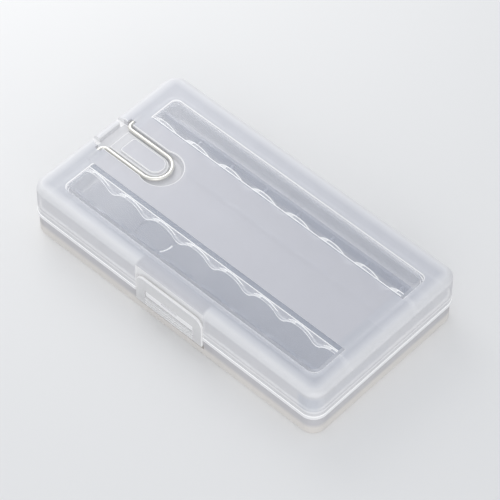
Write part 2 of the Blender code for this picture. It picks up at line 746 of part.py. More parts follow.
def add_knuckles(lid):
    for station in hinge_stations():
        half = KNUCKLE_LENGTH / 2
        eye = arc((HINGE_Y, HINGE_Z), HINGE_RADIUS, *KNUCKLE_EYE, EYE_STEPS)
        foot = [
            (LID_REAR - ROOT, SEAM_HEIGHT + HINGE_RADIUS + LUG_FOOT),
            (LID_REAR - ROOT, SEAM_HEIGHT + FIT),
        ]
        knuckle = side_profile("knuckle", eye + foot, (station - half, station + half))
        reach = half + HINGE_PIN_LENGTH
        start = (station - reach, HINGE_Y, HINGE_Z)
        end = (station + reach, HINGE_Y, HINGE_Z)
        pins = rod("pins", start, end, HINGE_PIN_RADIUS)
        add(knuckle, pins)
        add(lid, knuckle)


def make_lid(material):
    lid = lid_shell()
    add(lid, window_frame())
    for side in (-1, 1):
        add(lid, scalloped_rail(side))
    add_latch_recess(lid)
    add_hook_seat(lid)
    cut_windows(lid)
    add_knuckles(lid)
    return finish(lid, "lid", material, (0.0, HINGE_Y, HINGE_Z))


# The latch clip

def rounded_outline(half_width, low, high, low_radius, high_radius):
    top = high - high_radius
    foot = low + low_radius
    outline = arc((half_width - high_radius, top), high_radius, 0, 90, CLIP_CORNER_STEPS)
    outline += arc((-half_width + high_radius, top), high_radius, 90, 180, CLIP_CORNER_STEPS)
    outline += arc((-half_width + low_radius, foot), low_radius, 180, 270, CLIP_FOOT_STEPS)
    outline += arc((half_width - low_radius, foot), low_radius, 270, 360, CLIP_FOOT_STEPS)
    return outline


def make_clip(material):
    half = CLIP_WIDTH / 2
    window_half = CLIP_WINDOW_WIDTH / 2
    clip = front_profile(
        "clip", rounded_outline(half, CLIP_BOTTOM, CLIP_TOP, CLIP_FOOT_CORNER, CLIP_CORNER),
        (CLIP_OUTER, CLIP_INNER),
    )
    window = block(
        "window", (-window_half, window_half), (CLIP_OUTER - OVERCUT, CLIP_INNER + OVERCUT),
        (CLIP_WINDOW_BOTTOM, CLIP_WINDOW_TOP),
    )
    relief = block(
        "relief", (-half - OVERCUT, half + OVERCUT), (CLIP_INNER - CLIP_RELIEF, CLIP_INNER + OVERCUT),
        (CLIP_RELIEF_BOTTOM, CLIP_TOP + OVERCUT),
    )
    cut(clip, window, relief)
    for index in range(GRIP_COUNT):
        level = CLIP_BOTTOM + GRIP_FROM_FOOT + GRIP_PITCH * index
        groove = block(
            "groove", (-window_half, window_half), (CLIP_OUTER - OVERCUT, CLIP_OUTER + GRIP_GROOVE),
            (level - GRIP_GROOVE / 2, level + GRIP_GROOVE / 2),
        )
        cut(clip, groove)
    axis = (CLIP_AXIS_Y, CLIP_AXIS_Z)
    barrel = rod("barrel", (-half, *axis), (half, *axis), CLIP_BARREL_RADIUS)
    reach = RECESS_HALF + CLIP_PIN_LENGTH - FIT
    add(barrel, rod("pins", (-reach, *axis), (reach, *axis), CLIP_PIN_RADIUS))
    add(clip, barrel)
    return finish(clip, "latch_clip", material, (0.0, *axis))


# The wire hook

def hook_route():
    # One side from the end of the wire to the middle of the bend, in X and Y
    leg = HOOK_WIDTH / 2
    corner = (HOOK_AXIS_X + HOOK_BEND, -leg - HOOK_BEND)
    side = [(HOOK_AXIS_X, -leg - HOOK_END_LENGTH)]
    side += arc(corner, HOOK_BEND, 180, 90, WIRE_CORNER_STEPS)
    side += arc((BEND_CENTRE_X, 0.0), leg, -90, 0, WIRE_BEND_STEPS)
    mirrored = [(x, -y) for x, y in reversed(side[:-1])]
    return side + mirrored


def make_hook(material):
    curve = bpy.data.curves.new("hook", "CURVE")
    curve.dimensions = "3D"
    curve.bevel_depth = WIRE / 2
    curve.bevel_resolution = WIRE_RESOLUTION
    curve.use_fill_caps = True
    line = curve.splines.new("POLY")
    route = hook_route()
    line.points.add(len(route) - 1)
    for point, place in zip(line.points, route):
        point.co = (place[0], place[1], HOOK_AXIS_Z, 1.0)
    curve_object = bpy.data.objects.new("hook", curve)
    COLLECTION.objects.link(curve_object)
    bpy.context.view_layer.update()
    hook = mesh_from_curve(curve_object, "hook")
    return finish(hook, "hanging_hook", material, (HOOK_AXIS_X, 0.0, HOOK_AXIS_Z))


def main():
    clear_scene()
    milky = make_material("milky_polypropylene", (0.82, 0.84, 0.86), 0.35, 0.0, 0.55)
    steel = make_material("bright_steel_wire", (0.72, 0.70, 0.64), 0.22, 1.0)
    base = make_base(milky)
    lid = make_lid(milky)
    clip = make_clip(milky)
    hook = make_hook(steel)
    bpy.context.view_layer.update()
    for piece, carrier in ((clip, base), (hook, lid)):
        piece.parent = carrier
        piece.matrix_parent_inverse = carrier.matrix_world.inverted()


main()
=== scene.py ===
"""Looks of a translucent battery case with a hinged lid, a latch clip and a wire hook."""

import logging
import math
from dataclasses import dataclass
from enum import Enum
from typing import Callable, Iterable, Sequence

import bmesh
import bpy
from mathutils import Matrix, Vector


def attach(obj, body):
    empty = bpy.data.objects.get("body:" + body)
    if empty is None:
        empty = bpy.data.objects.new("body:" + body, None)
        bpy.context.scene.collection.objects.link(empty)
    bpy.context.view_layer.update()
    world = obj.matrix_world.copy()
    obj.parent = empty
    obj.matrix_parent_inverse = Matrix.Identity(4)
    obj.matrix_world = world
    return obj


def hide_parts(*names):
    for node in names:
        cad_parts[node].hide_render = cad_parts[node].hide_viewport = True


MM = 0.001
CLOSE = 1e-7
WELD = 2e-6
SHARP_EDGE = 35
DOWN = 270
LOG = logging.getLogger("battery_case")

Point = tuple[float, float]
Outline = list[Point]
Span = tuple[float, float]

# Limits of bands: past every point of the case, and where the places along the hinge side lie
BEYOND = 1.0
ANYWHERE: Span = (-BEYOND, BEYOND)
HINGE_SIDE: Span = (0.9, 9.0)

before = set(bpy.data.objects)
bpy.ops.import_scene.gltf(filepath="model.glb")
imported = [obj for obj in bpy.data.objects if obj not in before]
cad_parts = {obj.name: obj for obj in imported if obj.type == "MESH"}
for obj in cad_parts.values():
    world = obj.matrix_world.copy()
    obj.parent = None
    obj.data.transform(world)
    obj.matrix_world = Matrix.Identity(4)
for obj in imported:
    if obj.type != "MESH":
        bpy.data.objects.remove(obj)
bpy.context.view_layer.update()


class Body(Enum):
    """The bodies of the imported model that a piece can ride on."""

    BASE = "base"
    COVER = "cover"
    LATCH = "latch"
    HOOK = "hook"


class Slot(Enum):
    """The record's material slots."""

    PLASTIC = "milky_plastic"
    STEEL = "steel_wire"


class Finish(Enum):
    """Finishes of the plastic, by their place in each solid's list of materials."""

    FROST = 0
    CLEAR = 1
    # EDGE: near-white plastic with a painted glow, a painted highlight along rims and edges
    EDGE = 2
    INNER = 3
    SHADE = 4
    RIB = 5
    FLOOR = 6
    # LIP: near-white plastic with a faint painted glow, painted light on lips and on faces that would lie in
    # shade
    LIP = 7
    GLINT = 8


Ends = tuple[Finish, Finish]
FROST_ENDS = (Finish.FROST, Finish.FROST)


class Facing(Enum):
    """How a flat drawing is turned before it is given its thickness."""

    UP = Matrix.Identity(4)
    FRONT = Matrix(((1, 0, 0, 0), (0, 0, 1, 0), (0, 1, 0, 0), (0, 0, 0, 1)))
    SIDE = Matrix(((0, 0, 1, 0), (1, 0, 0, 0), (0, 1, 0, 0), (0, 0, 0, 1)))


# Sizes

@dataclass(frozen=True)
class CellRow:
    """The row of cells that the case is made round."""

    diameter: float = 14.3 * MM
    length: float = 50.5 * MM
    count: int = 8
    spacing_gap: float = 0.65 * MM
    end_play: float = 0.6 * MM
    side_play: float = 0.15 * MM
    seat_play: float = 0.15 * MM

    @property
    def pitch(self) -> float:
        """Distance from one cell's axis to the next."""
        return self.diameter + self.spacing_gap

    @property
    def radius(self) -> float:
        """Half of a cell's diameter."""
        return self.diameter / 2

    @property
    def row_length(self) -> float:
        """Length of the whole row."""
        return self.count * self.pitch - self.spacing_gap


@dataclass(frozen=True)
class CaseSizes:
    """Walls, seams and inner forms of the case, and the places worked out from them."""

    cells: CellRow = CellRow()
    hook_bay: float = 3.8 * MM
    side_bay: float = 5.7 * MM
    cell_lift: float = 1.95 * MM
    head_room: float = 2.95 * MM
    floor: float = 1.4 * MM
    base_wall: float = 1.0 * MM
    lid_wall: float = 1.3 * MM
    lid_plate: float = 1.4 * MM
    skirt: float = 0.55 * MM
    corner: float = 5.4 * MM
    top_round: float = 2.3 * MM
    bottom_round: float = 0.8 * MM
    inner_round: float = 1.2 * MM
    seam: float = 8.4 * MM
    upstand: float = 3.35 * MM
    overhang: float = 0.55 * MM
    rim_proud: float = 0.2 * MM
    rim_height: float = 1.5 * MM
    rim_edge: float = 0.12 * MM
    fit: float = 0.3 * MM
    root: float = 0.4 * MM
    overcut: float = 1.0 * MM
    stop_thickness: float = 1.2 * MM
    stop_height: float = 9.0 * MM
    rib_thickness: float = 1.3 * MM
    rib_spacing: float = 31.3 * MM
    cradle_wrap: float = 1.05 * MM
    fin_thickness: float = 0.9 * MM
    fin_length: float = 2.4 * MM
    fin_below_axis: float = 2.5 * MM
    rail_depth: float = 3.55 * MM
    rail_arch_play: float = 0.25 * MM
    rail_arch_roof: float = 0.2 * MM
    rail_edge: float = 0.3 * MM
    rail_line: float = 0.85 * MM
    shade_width: float = 1.8 * MM
    root_line: float = 0.4 * MM
    hair: float = 0.02 * MM
    frame_depth: float = 2.6 * MM
    frame_thickness: float = 1.1 * MM
    frame_corner: float = 2.4 * MM
    frame_edge: float = 0.25 * MM
    frame_glow: float = 0.6 * MM
    window_length: float = 109.6 * MM
    window_spread: float = 51.4 * MM
    window_sink: float = 0.15 * MM
    window_past_frame: float = 2.4 * MM
    window_slope: float = 1.6 * MM
    window_inner_corner: float = 0.6 * MM
    pane_past_frame: float = 1.9 * MM
    pane_inside_end: float = 1.0 * MM
    pane_inside_far: float = 0.65 * MM
    pane_line: float = 0.5 * MM
    panel_width: float = 27.0 * MM
    mark_radius: float = 7.1 * MM
    mark_line: float = 0.7 * MM
    mark_depth: float = 0.3 * MM
    mark_from_stop: float = 16.1 * MM
    mark_boundary: int = 2
    mark_before_boundary: float = 1.5 * MM
    pad_wall: float = 1.2 * MM
    seat_steps: int = 12
    top_steps: int = 10
    lid_corner_steps: int = 14

    @property
    def inner_length(self) -> float:
        """Length of the base's hollow."""
        return self.hook_bay + self.cells.row_length + self.cells.side_play

    @property
    def base_length(self) -> float:
        """Length of the base over its walls."""
        return self.inner_length + 2 * self.base_wall

    @property
    def length(self) -> float:
        """Length of the case over the lid's rim."""
        return self.base_length + 2 * self.overhang

    @property
    def stop_face(self) -> float:
        """Distance from the middle to the face that a cell's end meets."""
        return self.cells.length / 2 + self.cells.end_play

    @property
    def inner_width(self) -> float:
        """Width of the base's hollow."""
        return 2 * (self.stop_face + self.stop_thickness + self.side_bay)

    @property
    def base_width(self) -> float:
        """Width of the base over its walls."""
        return self.inner_width + 2 * self.base_wall

    @property
    def width(self) -> float:
        """Width of the case over the lid's rim."""
        return self.base_width + 2 * self.overhang

    @property
    def lid_length(self) -> float:
        """Length of the lid over its walls."""
        return self.length - 2 * self.rim_proud

    @property
    def lid_width(self) -> float:
        """Width of the lid over its walls."""
        return self.width - 2 * self.rim_proud

    @property
    def cell_axis(self) -> float:
        """Height of the cells' axes."""
        return self.floor + self.cell_lift + self.cells.radius

    @property
    def plate_underside(self) -> float:
        """Height of the lid plate's underside."""
        return self.floor + self.cell_lift + self.cells.diameter + self.head_room

    @property
    def height(self) -> float:
        """Height of the closed case."""
        return self.plate_underside + self.lid_plate

    @property
    def base_top(self) -> float:
        """Height of the base's shoulder."""
        return self.seam - self.fit

    @property
    def upstand_top(self) -> float:
        """Height of the base's upstand."""
        return self.seam + self.upstand

    @property
    def first_cell(self) -> float:
        """Place of the first cell's axis along the case."""
        row_end = self.inner_length / 2 - self.cells.side_play
        return row_end - self.cells.radius - (self.cells.count - 1) * self.cells.pitch

    @property
    def cell_places(self) -> list[float]:
        """Places of all the cells' axes along the case."""
        return [self.first_cell + self.cells.pitch * index for index in range(self.cells.count)]

    @property
    def boundary_places(self) -> list[float]:
        """Places half way between one cell and the next."""
        return [place + self.cells.pitch / 2 for place in self.cell_places[:-1]]

    def rib_span(self, side: int) -> Span:
        """Where a rib across the cells starts and ends."""
        return around(side * self.rib_spacing / 2, self.rib_thickness / 2)

    def window_radii(self, side: int, outer: float) -> tuple[float, float, float, float]:
        """Corner radii of a window, given that of its two outer corners."""
        inner = self.window_inner_corner
        return (outer, outer, inner, inner) if side > 0 else (inner, inner, outer, outer)


@dataclass(frozen=True)
class HookSizes:
    """The wire hook and its seat in the lid."""

    wire: float = 1.3 * MM
    width: float = 11.3 * MM
    reach: float = 23.9 * MM
    from_end: float = 5.7 * MM
    end_length: float = 6.6 * MM
    bend: float = 1.9 * MM
    depth: float = 1.1 * MM
    end_play: float = 0.5 * MM
    bore_play: float = 0.2 * MM
    groove_side: float = 0.55 * MM
    groove_wall: float = 0.9 * MM
    end_shown: float = 1.65 * MM
    trench_before_pivot: float = 2.6 * MM
    island_from_pivot: float = 1.5 * MM
    island_sink: float = 1.0 * MM
    pad_from_pivot: float = 5.3 * MM
    pad_inset: float = 0.9 * MM
    pad_sink: float = 0.2 * MM
    thumb_radius: float = 7.5 * MM
    thumb_slope: float = 0.9 * MM
    thumb_from_bend: float = 2.65 * MM
    boss_wall: float = 0.75 * MM
    lip: float = 0.4 * MM
    pad_corner: float = 1.2 * MM
    end_round: float = 0.25 * MM
    bend_steps: int = 10
    loop_steps: int = 28


@dataclass(frozen=True)
class ClipSizes:
    """The latch clip and its recess."""

    width: float = 29.2 * MM
    top: float = 17.3 * MM
    bottom: float = 4.5 * MM
    thickness: float = 1.1 * MM
    proud: float = 0.1 * MM
    corner: float = 3.6 * MM
    foot_corner: float = 0.6 * MM
    edge_round: float = 0.3 * MM
    window_width: float = 21.2 * MM
    window_bottom: float = 8.7 * MM
    window_height: float = 3.2 * MM
    relief: float = 0.35 * MM
    relief_bottom: float = 12.8 * MM
    barrel_radius: float = 0.9 * MM
    axis_behind: float = 0.7 * MM
    axis_above_foot: float = 0.7 * MM
    pin_radius: float = 0.5 * MM
    pin_length: float = 1.5 * MM
    back_gap: float = 0.4 * MM
    grip_groove: float = 0.4 * MM
    grip_count: int = 3
    grip_pitch: float = 1.3 * MM
    grip_from_foot: float = 0.6 * MM
    recess_below_top: float = 1.1 * MM
    ledge_hold: float = 0.8 * MM
    bump_width: float = 6.8 * MM
    bump_height: float = 0.6 * MM
    bump_proud: float = 0.2 * MM
    socket_end: float = 1.1 * MM
    sweep_angles: Span = (170.0, 285.0)
    sweep_steps: int = 20


@dataclass(frozen=True)
class HingeSizes:
    """The rear hinge's knuckles and lugs."""

    radius: float = 2.0 * MM
    behind: float = 2.5 * MM
    pin_radius: float = 1.0 * MM
    pin_length: float = 2.2 * MM
    spacing: float = 68.0 * MM
    knuckle_length: float = 14.0 * MM
    lug_thickness: float = 3.2 * MM
    lug_foot: float = 4.2 * MM
    edge_round: float = 0.2 * MM
    lug_angles: Span = (130.0, -60.0)
    lug_steps: int = 20
    knuckle_angles: Span = (-150.0, 60.0)
    knuckle_steps: int = 24

    @property
    def stations(self) -> tuple[float, float]:
        """Places of the two knuckles along the case."""
        return (-self.spacing / 2, self.spacing / 2)


# Drawing and solid tools

def arc(centre: Point, radius: float, first: float, last: float, steps: int) -> Outline:
    """Points along an arc.

    Args:
        centre: The arc's centre.
        radius: Its radius.
        first: Angle of the first point in degrees.
        last: Angle of the last point in degrees.
        steps: Number of chords.

    Returns:
        The points, both ends included.
    """
    angles = [math.radians(first + (last - first) * step / steps) for step in range(steps + 1)]
    return [
        (centre[0] + radius * math.cos(angle), centre[1] + radius * math.sin(angle)) for angle in angles
    ]


@dataclass(frozen=True)
class RoundedBox:
    """A rectangle with its own radius at each corner, drawn at any inset."""

    x_range: Span
    y_range: Span
    radii: tuple[float, float, float, float]
    steps: int = 10
    least_radius: float = 0.05 * MM

    def outline(self, inset: float) -> Outline:
        """The outline moved inwards by inset, or outwards where inset is negative.

        Args:
            inset: How far inwards.

        Returns:
            The points.
        """
        x_low, x_high = self.x_range[0] + inset, self.x_range[1] - inset
        y_low, y_high = self.y_range[0] + inset, self.y_range[1] - inset
        points: Outline = []
        for index, (x_way, y_way) in enumerate(((-1, -1), (1, -1), (1, 1), (-1, 1))):
            radius = max(self.radii[index] - inset, self.least_radius)
            x, y = x_high if x_way < 0 else x_low, y_high if y_way < 0 else y_low
            centre = (x + x_way * radius, y + y_way * radius)
            points += arc(centre, radius, 90 * index, 90 * index + 90, self.steps)
        return points


def centred_box(length: float, width: float, radius: float, steps: int = 10) -> RoundedBox:
    """A rounded rectangle round the origin with one radius at all corners."""
    return RoundedBox((-length / 2, length / 2), (-width / 2, width / 2), (radius,) * 4, steps)


@dataclass(frozen=True)
class Bullet:
    """Two straight sides that end in a half circle, drawn at any inset."""

    start: float
    centre: float
    half_width: float
    corner: float = 0.1 * MM
    least_corner: float = 0.05 * MM
    bend_steps: int = 28
    corner_steps: int = 6

    def outline(self, inset: float) -> Outline:
        """The outline moved inwards by inset, or outwards where inset is negative.

        Args:
            inset: How far inwards.

        Returns:
            The points.
        """
        half = self.half_width - inset
        corner = max(self.corner - inset, self.least_corner)
        corner_x, corner_y = self.start + inset + corner, half - corner
        points = arc((self.centre, 0.0), half, -90, 90, self.bend_steps)
        points += arc((corner_x, corner_y), corner, 90, 180, self.corner_steps)
        return points + arc((corner_x, -corner_y), corner, 180, 270, self.corner_steps)


@dataclass(frozen=True)
class Disc:
    """A circle, drawn at any inset."""

    centre: Point
    radius: float
    steps: int = 56

    def outline(self, inset: float) -> Outline:
        """The circle moved inwards by inset."""
        return arc(self.centre, self.radius - inset, 0, 360, self.steps)[:-1]


def add_object(name: str, data: bpy.types.ID) -> bpy.types.Object:
    """Puts an object that holds the data into the scene.

    Args:
        name: The object's name.
        data: Its mesh, camera or light.

    Returns:
        The object.
    """
    made = bpy.data.objects.new(name, data)
    bpy.context.scene.collection.objects.link(made)
    return made


def placeholder(finish: Finish) -> bpy.types.Material:
    """An empty material that keeps a finish's place until a piece is dressed."""
    name = "place of " + finish.name.lower()
    return bpy.data.materials.get(name) or bpy.data.materials.new(name)


class Solid:
    """A closed mesh under construction, which other solids can be joined to or cut from."""

    def __init__(self, shape: bmesh.types.BMesh, name: str, finish: Finish | None = None) -> None:
        """Takes the mesh over from shape, in one finish where that is given, and makes its object.

        Args:
            shape: The mesh.
            name: Name of the object.
            finish: Finish of all faces.
        """
        mesh = bpy.data.meshes.new(name)
        for place in Finish:
            mesh.materials.append(placeholder(place))
        bmesh.ops.recalc_face_normals(shape, faces=shape.faces)
        shape.to_mesh(mesh)
        shape.free()
        self.object = add_object(name, mesh)
        if finish:
            self.refinish(finish, lambda face: True)

    def refinish(self, finish: Finish, wanted: Callable[[bpy.types.MeshPolygon], bool]) -> "Solid":
        """Gives another finish to the faces that pass a test.

        Args:
            finish: The other finish.
            wanted: Whether a face gets it.

        Returns:
            This solid.
        """
        for face in self.object.data.polygons:
            if wanted(face):
                face.material_index = finish.value
        return self

    def _change(self, tools: Iterable["Solid"], operation: str) -> "Solid":
        """Applies one Boolean of the given kind with all the tools and removes them.

        Args:
            tools: The other solids.
            operation: UNION or DIFFERENCE.

        Returns:
            This solid.
        """
        tools = list(tools)
        group = bpy.data.collections.new("tools")
        for tool in tools:
            group.objects.link(tool.object)
        change = self.object.modifiers.new("change", "BOOLEAN")
        change.operation = operation
        change.solver = "EXACT"
        change.operand_type = "COLLECTION"
        change.material_mode = "TRANSFER"
        change.collection = group
        graph = bpy.context.evaluated_depsgraph_get()
        mesh = bpy.data.meshes.new_from_object(self.object.evaluated_get(graph))
        self.object.modifiers.clear()
        old_mesh = self.object.data
        self.object.data = mesh
        bpy.data.meshes.remove(old_mesh)
        for tool in tools:
            bpy.data.objects.remove(tool.object)
        bpy.data.collections.remove(group)
        return self

    def join(self, *tools: "Solid") -> "Solid":
        """Joins the tools to this solid."""
        return self._change(tools, "UNION")

    def cut(self, *tools: "Solid") -> "Solid":
        """Cuts the tools out of this solid."""
        return self._change(tools, "DIFFERENCE")


def skin(name: str, rings: Sequence[Sequence[Sequence[float]]],
         finishes: Sequence[Finish] = (), ends: Ends = FROST_ENDS) -> Solid:
    """A closed skin through a row of rings with the same number of points.

    Args:
        name: Name of the solid.
        rings: The points of each ring, from one closed end to the other.
        finishes: Finish of each step from ring to ring, where they differ.
        ends: Finishes of the two closed ends. The first is also that of the steps where finishes is empty.

    Returns:
        The solid.
    """
    shape = bmesh.new()
    corners = [shape.verts.new(point) for point in rings[0]]
    first = shape.faces.new(corners)
    first.material_index = ends[0].value
    edges = first.edges[:]
    for number, ring in enumerate(rings[1:]):
        order = {tuple(corner.co): index for index, corner in enumerate(corners)}
        made = bmesh.ops.extrude_edge_only(shape, edges=edges)["geom"]
        fresh = {item for item in made if isinstance(item, bmesh.types.BMVert)}
        edges = [item for item in made if isinstance(item, bmesh.types.BMEdge) and set(item.verts) <= fresh]
        corners = sorted(fresh, key=lambda corner: order[tuple(corner.co)])
        step_finish = finishes[number] if finishes else ends[0]
        for corner, point in zip(corners, ring):
            corner.co = point
            for face in corner.link_faces:
                face.material_index = step_finish.value
    last = bmesh.ops.edgeloop_fill(shape, edges=edges)["faces"]
    for face in last:
        face.material_index = ends[1].value
    return Solid(shape, name)


@dataclass
class Levels:
    """Steps of height and inset with the finish of each, from one closed end of a loft to the other."""

    steps: list[Point]
    finishes: list[Finish]

    @classmethod
    def start(cls, height: float, inset: float) -> "Levels":
        """Begins at one level."""
        return cls([(height, inset)], [])

    @classmethod
    def foot(cls, height: float, radius: float, finish: Finish = Finish.FROST, steps: int = 3) -> "Levels":
        """Begins with a rounded foot that ends upright, at no inset."""
        return cls.start(height, radius).round(radius, -radius, finish, steps, level_first=True)

    def to(self, height: float, inset: float, finish: Finish = Finish.FROST) -> "Levels":
        """Goes straight to a level.

        Args:
            height: The level's height.
            inset: Its inset.
            finish: Finish of the faces up to it.

        Returns:
            The same levels.
        """
        self.steps.append((height, inset))
        self.finishes.append(finish)
        return self

    def round(self, rise: float, run: float, finish: Finish = Finish.FROST, steps: int = 6,
              level_first: bool = False) -> "Levels":
        """Goes on along a quarter of an ellipse.

        Args:
            rise: Change of height over the rounding.
            run: Change of inset over it.
            finish: Finish of its faces.
            steps: Number of chords.
            level_first: Whether it starts level and ends upright instead of the other way round.

        Returns:
            The same levels.
        """
        height, inset = self.steps[-1]
        for step in range(1, steps + 1):
            angle = math.pi / 2 * step / steps
            up, along = math.sin(angle), 1 - math.cos(angle)
            if level_first:
                up, along = along, up
            self.to(height + rise * up, inset + run * along, finish)
        return self

    def shoulder(self, height: float, inset: float, run: float, finish: Finish = Finish.EDGE,
                 steps: int = 3) -> "Levels":
        """Goes straight up and rounds off to a height.

        Args:
            height: Height that the rounding ends at.
            inset: Inset of the straight part.
            run: Radius of the rounding, negative where it turns outwards.
            finish: Finish of its faces.
            steps: Number of chords.

        Returns:
            The same levels.
        """
        return self.to(height - abs(run), inset).round(abs(run), run, finish, steps)


def loft(name: str, outline: Callable[[float], Outline], levels: Levels, ends: Ends = FROST_ENDS) -> Solid:
    """A solid whose outline changes from level to level.

    Args:
        name: Name of the solid.
        outline: Gives the outline at an inset, always with the same number of points.
        levels: The levels.
        ends: Finishes of the two closed ends.

    Returns:
        The solid.
    """
    rings = [[(x, y, height) for x, y in outline(inset)] for height, inset in levels.steps]
    return skin(name, rings, levels.finishes, ends)


def soften(shape: bmesh.types.BMesh, edges: Sequence[bmesh.types.BMEdge], radius: float,
           segments: int = 2) -> None:
    """Rounds some edges of a mesh.

    Args:
        shape: The mesh.
        edges: The edges.
        radius: Radius of the rounding.
        segments: Faces across it.
    """
    bmesh.ops.bevel(
        shape, geom=edges, offset=radius, offset_type="OFFSET", affect="EDGES", segments=segments,
        profile=0.5, material=-1, clamp_overlap=True,
    )


def plate(name: str, outline: Outline, span: Span, facing: Facing = Facing.UP, rim_round: float = 0.0,
          finish: Finish = Finish.FROST, rim: Finish = Finish.FROST, segments: int = 2) -> Solid:
    """A flat drawing given thickness, with its rims rounded where a radius is given.

    Args:
        name: Name of the solid.
        outline: The drawing's points.
        span: Where the thickness starts and ends.
        facing: How the drawing is turned.
        rim_round: Radius of both rims.
        finish: Finish of the two flat faces and of the side between them.
        rim: Finish of the rounded rims.
        segments: Faces across a rounded rim.

    Returns:
        The solid.
    """
    shape = bmesh.new()
    face = shape.faces.new([shape.verts.new((x, y, span[0])) for x, y in outline])
    grown = bmesh.ops.extrude_face_region(shape, geom=[face])["geom"]
    corners = [item for item in grown if isinstance(item, bmesh.types.BMVert)]
    bmesh.ops.translate(shape, vec=(0.0, 0.0, span[1] - span[0]), verts=corners)
    if rim_round > 0.0:
        rims = [edge for edge in shape.edges if abs(edge.verts[0].co.z - edge.verts[1].co.z) < CLOSE]
        soften(shape, rims, rim_round, segments)
    for face in shape.faces:
        levels = [corner.co.z for corner in face.verts]
        rise = max(levels) - min(levels)
        face.material_index = rim.value if CLOSE <= rise <= 2 * rim_round else finish.value
    bmesh.ops.transform(shape, matrix=facing.value, verts=shape.verts)
    return Solid(shape, name)


def block(name: str, x_range: Span, y_range: Span, z_range: Span, edge_round: float = 0.0,
          finish: Finish = Finish.FROST) -> Solid:
    """A box between three pairs of limits, with all its edges rounded where a radius is given.

    Args:
        name: Name of the solid.
        x_range: Its limits along X.
        y_range: Its limits along Y.
        z_range: Its limits along Z.
        edge_round: Radius of its edges.
        finish: Finish of its faces.

    Returns:
        The solid.
    """
    shape = bmesh.new()
    bmesh.ops.create_cube(shape, size=1.0)
    spans = (x_range, y_range, z_range)
    bmesh.ops.scale(shape, vec=[high - low for low, high in spans], verts=shape.verts)
    bmesh.ops.translate(shape, vec=[(high + low) / 2 for low, high in spans], verts=shape.verts)
    if edge_round > 0.0:
        soften(shape, shape.edges[:], edge_round)
    return Solid(shape, name, finish)


def rod(name: str, start: Sequence[float], end: Sequence[float], radius: float, segments: int = 40,
        finish: Finish = Finish.FROST) -> Solid:
    """A round bar between two points.

    Args:
        name: Name of the solid.
        start: Centre of one end.
        end: Centre of the other end.
        radius: Its radius.
        segments: Faces round it.
        finish: Finish of its faces.

    Returns:
        The solid.
    """
    first, last = Vector(start), Vector(end)
    along = last - first
    shape = bmesh.new()
    bmesh.ops.create_cone(
        shape, cap_ends=True, cap_tris=False, segments=segments, radius1=radius, radius2=radius,
        depth=along.length,
    )
    turn = along.to_track_quat("Z", "Y").to_matrix().to_4x4()
    bmesh.ops.transform(shape, matrix=Matrix.Translation((first + last) / 2) @ turn, verts=shape.verts)
    return Solid(shape, name, finish)


def spindle(name: str, reach: float, axis: Point, radius: float, middle: float = 0.0) -> Solid:
    """A round bar along the case, about an axis given as Y and Z."""
    return rod(name, (middle - reach, *axis), (middle + reach, *axis), radius)


def around(middle: float, half: float) -> Span:
    """The range that reaches as far to either side of a middle."""
    return (middle - half, middle + half)


def mirrored_range(low: float, high: float, side: int) -> Span:
    """The range from low to high on the positive side, or its mirror image on the other."""
    return (low, high) if side > 0 else (-high, -low)


# Materials

Tone = tuple[float, float, float]


class Nodes:
    """Small helper that adds nodes to a tree and wires them."""

    def __init__(self, tree: bpy.types.NodeTree) -> None:
        """Keeps the tree that nodes are added to."""
        self.tree = tree

    def add(self, kind: str, sources: dict[str, object] | None = None, **settings: object) -> bpy.types.Node:
        """Adds a node, sets its properties and feeds its inputs by their names.

        Args:
            kind: The node's type.
            sources: What feeds its inputs, by their names.
            settings: Its properties.

        Returns:
            The node.
        """
        node = self.tree.nodes.new(kind)
        for key, value in settings.items():
            setattr(node, key, value)
        self.feed_all(node.inputs, sources or {})
        return node

    def feed(self, socket: bpy.types.NodeSocket, source: object) -> None:
        """Wires a socket to another, or sets its value.

        Args:
            socket: The socket.
            source: Another socket, or a value.
        """
        if isinstance(source, bpy.types.NodeSocket):
            self.tree.links.new(source, socket)
        else:
            socket.default_value = source

    def feed_all(self, sockets: object, sources: dict[str, object]) -> None:
        """Feeds some of a node's inputs by their names."""
        for label, source in sources.items():
            self.feed(sockets[label], source)

    def math(self, operation: str, *values: object, clamp: bool = False) -> bpy.types.NodeSocket:
        """Adds a Math node and returns its result.

        Args:
            operation: What it works out.
            values: What feeds its inputs, in order.
            clamp: Whether the result is kept between zero and one.

        Returns:
            Its result.
        """
        node = self.add("ShaderNodeMath", operation=operation, use_clamp=clamp)
        for socket, value in zip(node.inputs, values):
            self.feed(socket, value)
        return node.outputs[0]

    def mix(self, kind: str, share: object, first: object, second: object) -> bpy.types.NodeSocket:
        """Adds a Mix node of the given kind and returns its result.

        Args:
            kind: FLOAT or RGBA.
            share: Share of the second.
            first: The first value or colour.
            second: The second.

        Returns:
            Its result.
        """
        node = self.add("ShaderNodeMix", data_type=kind)
        sockets = {socket.identifier: socket for socket in node.inputs}
        suffix = {"FLOAT": "Float", "RGBA": "Color"}[kind]
        self.feed_all(sockets, {"Factor_Float": share, f"A_{suffix}": first, f"B_{suffix}": second})
        return next(socket for socket in node.outputs if socket.identifier == f"Result_{suffix}")

    def group(self, tree: bpy.types.NodeTree, **values: object) -> dict[str, bpy.types.NodeSocket]:
        """Adds a node group and feeds its inputs.

        Args:
            tree: The group.
            values: What feeds each input, by its name in small letters with underscores for spaces.

        Returns:
            Its outputs by their names.
        """
        sources = {key.replace("_", " ").title(): value for key, value in values.items()}
        node = self.add("ShaderNodeGroup", node_tree=tree)
        self.feed_all(node.inputs, sources)
        return {socket.name: socket for socket in node.outputs}


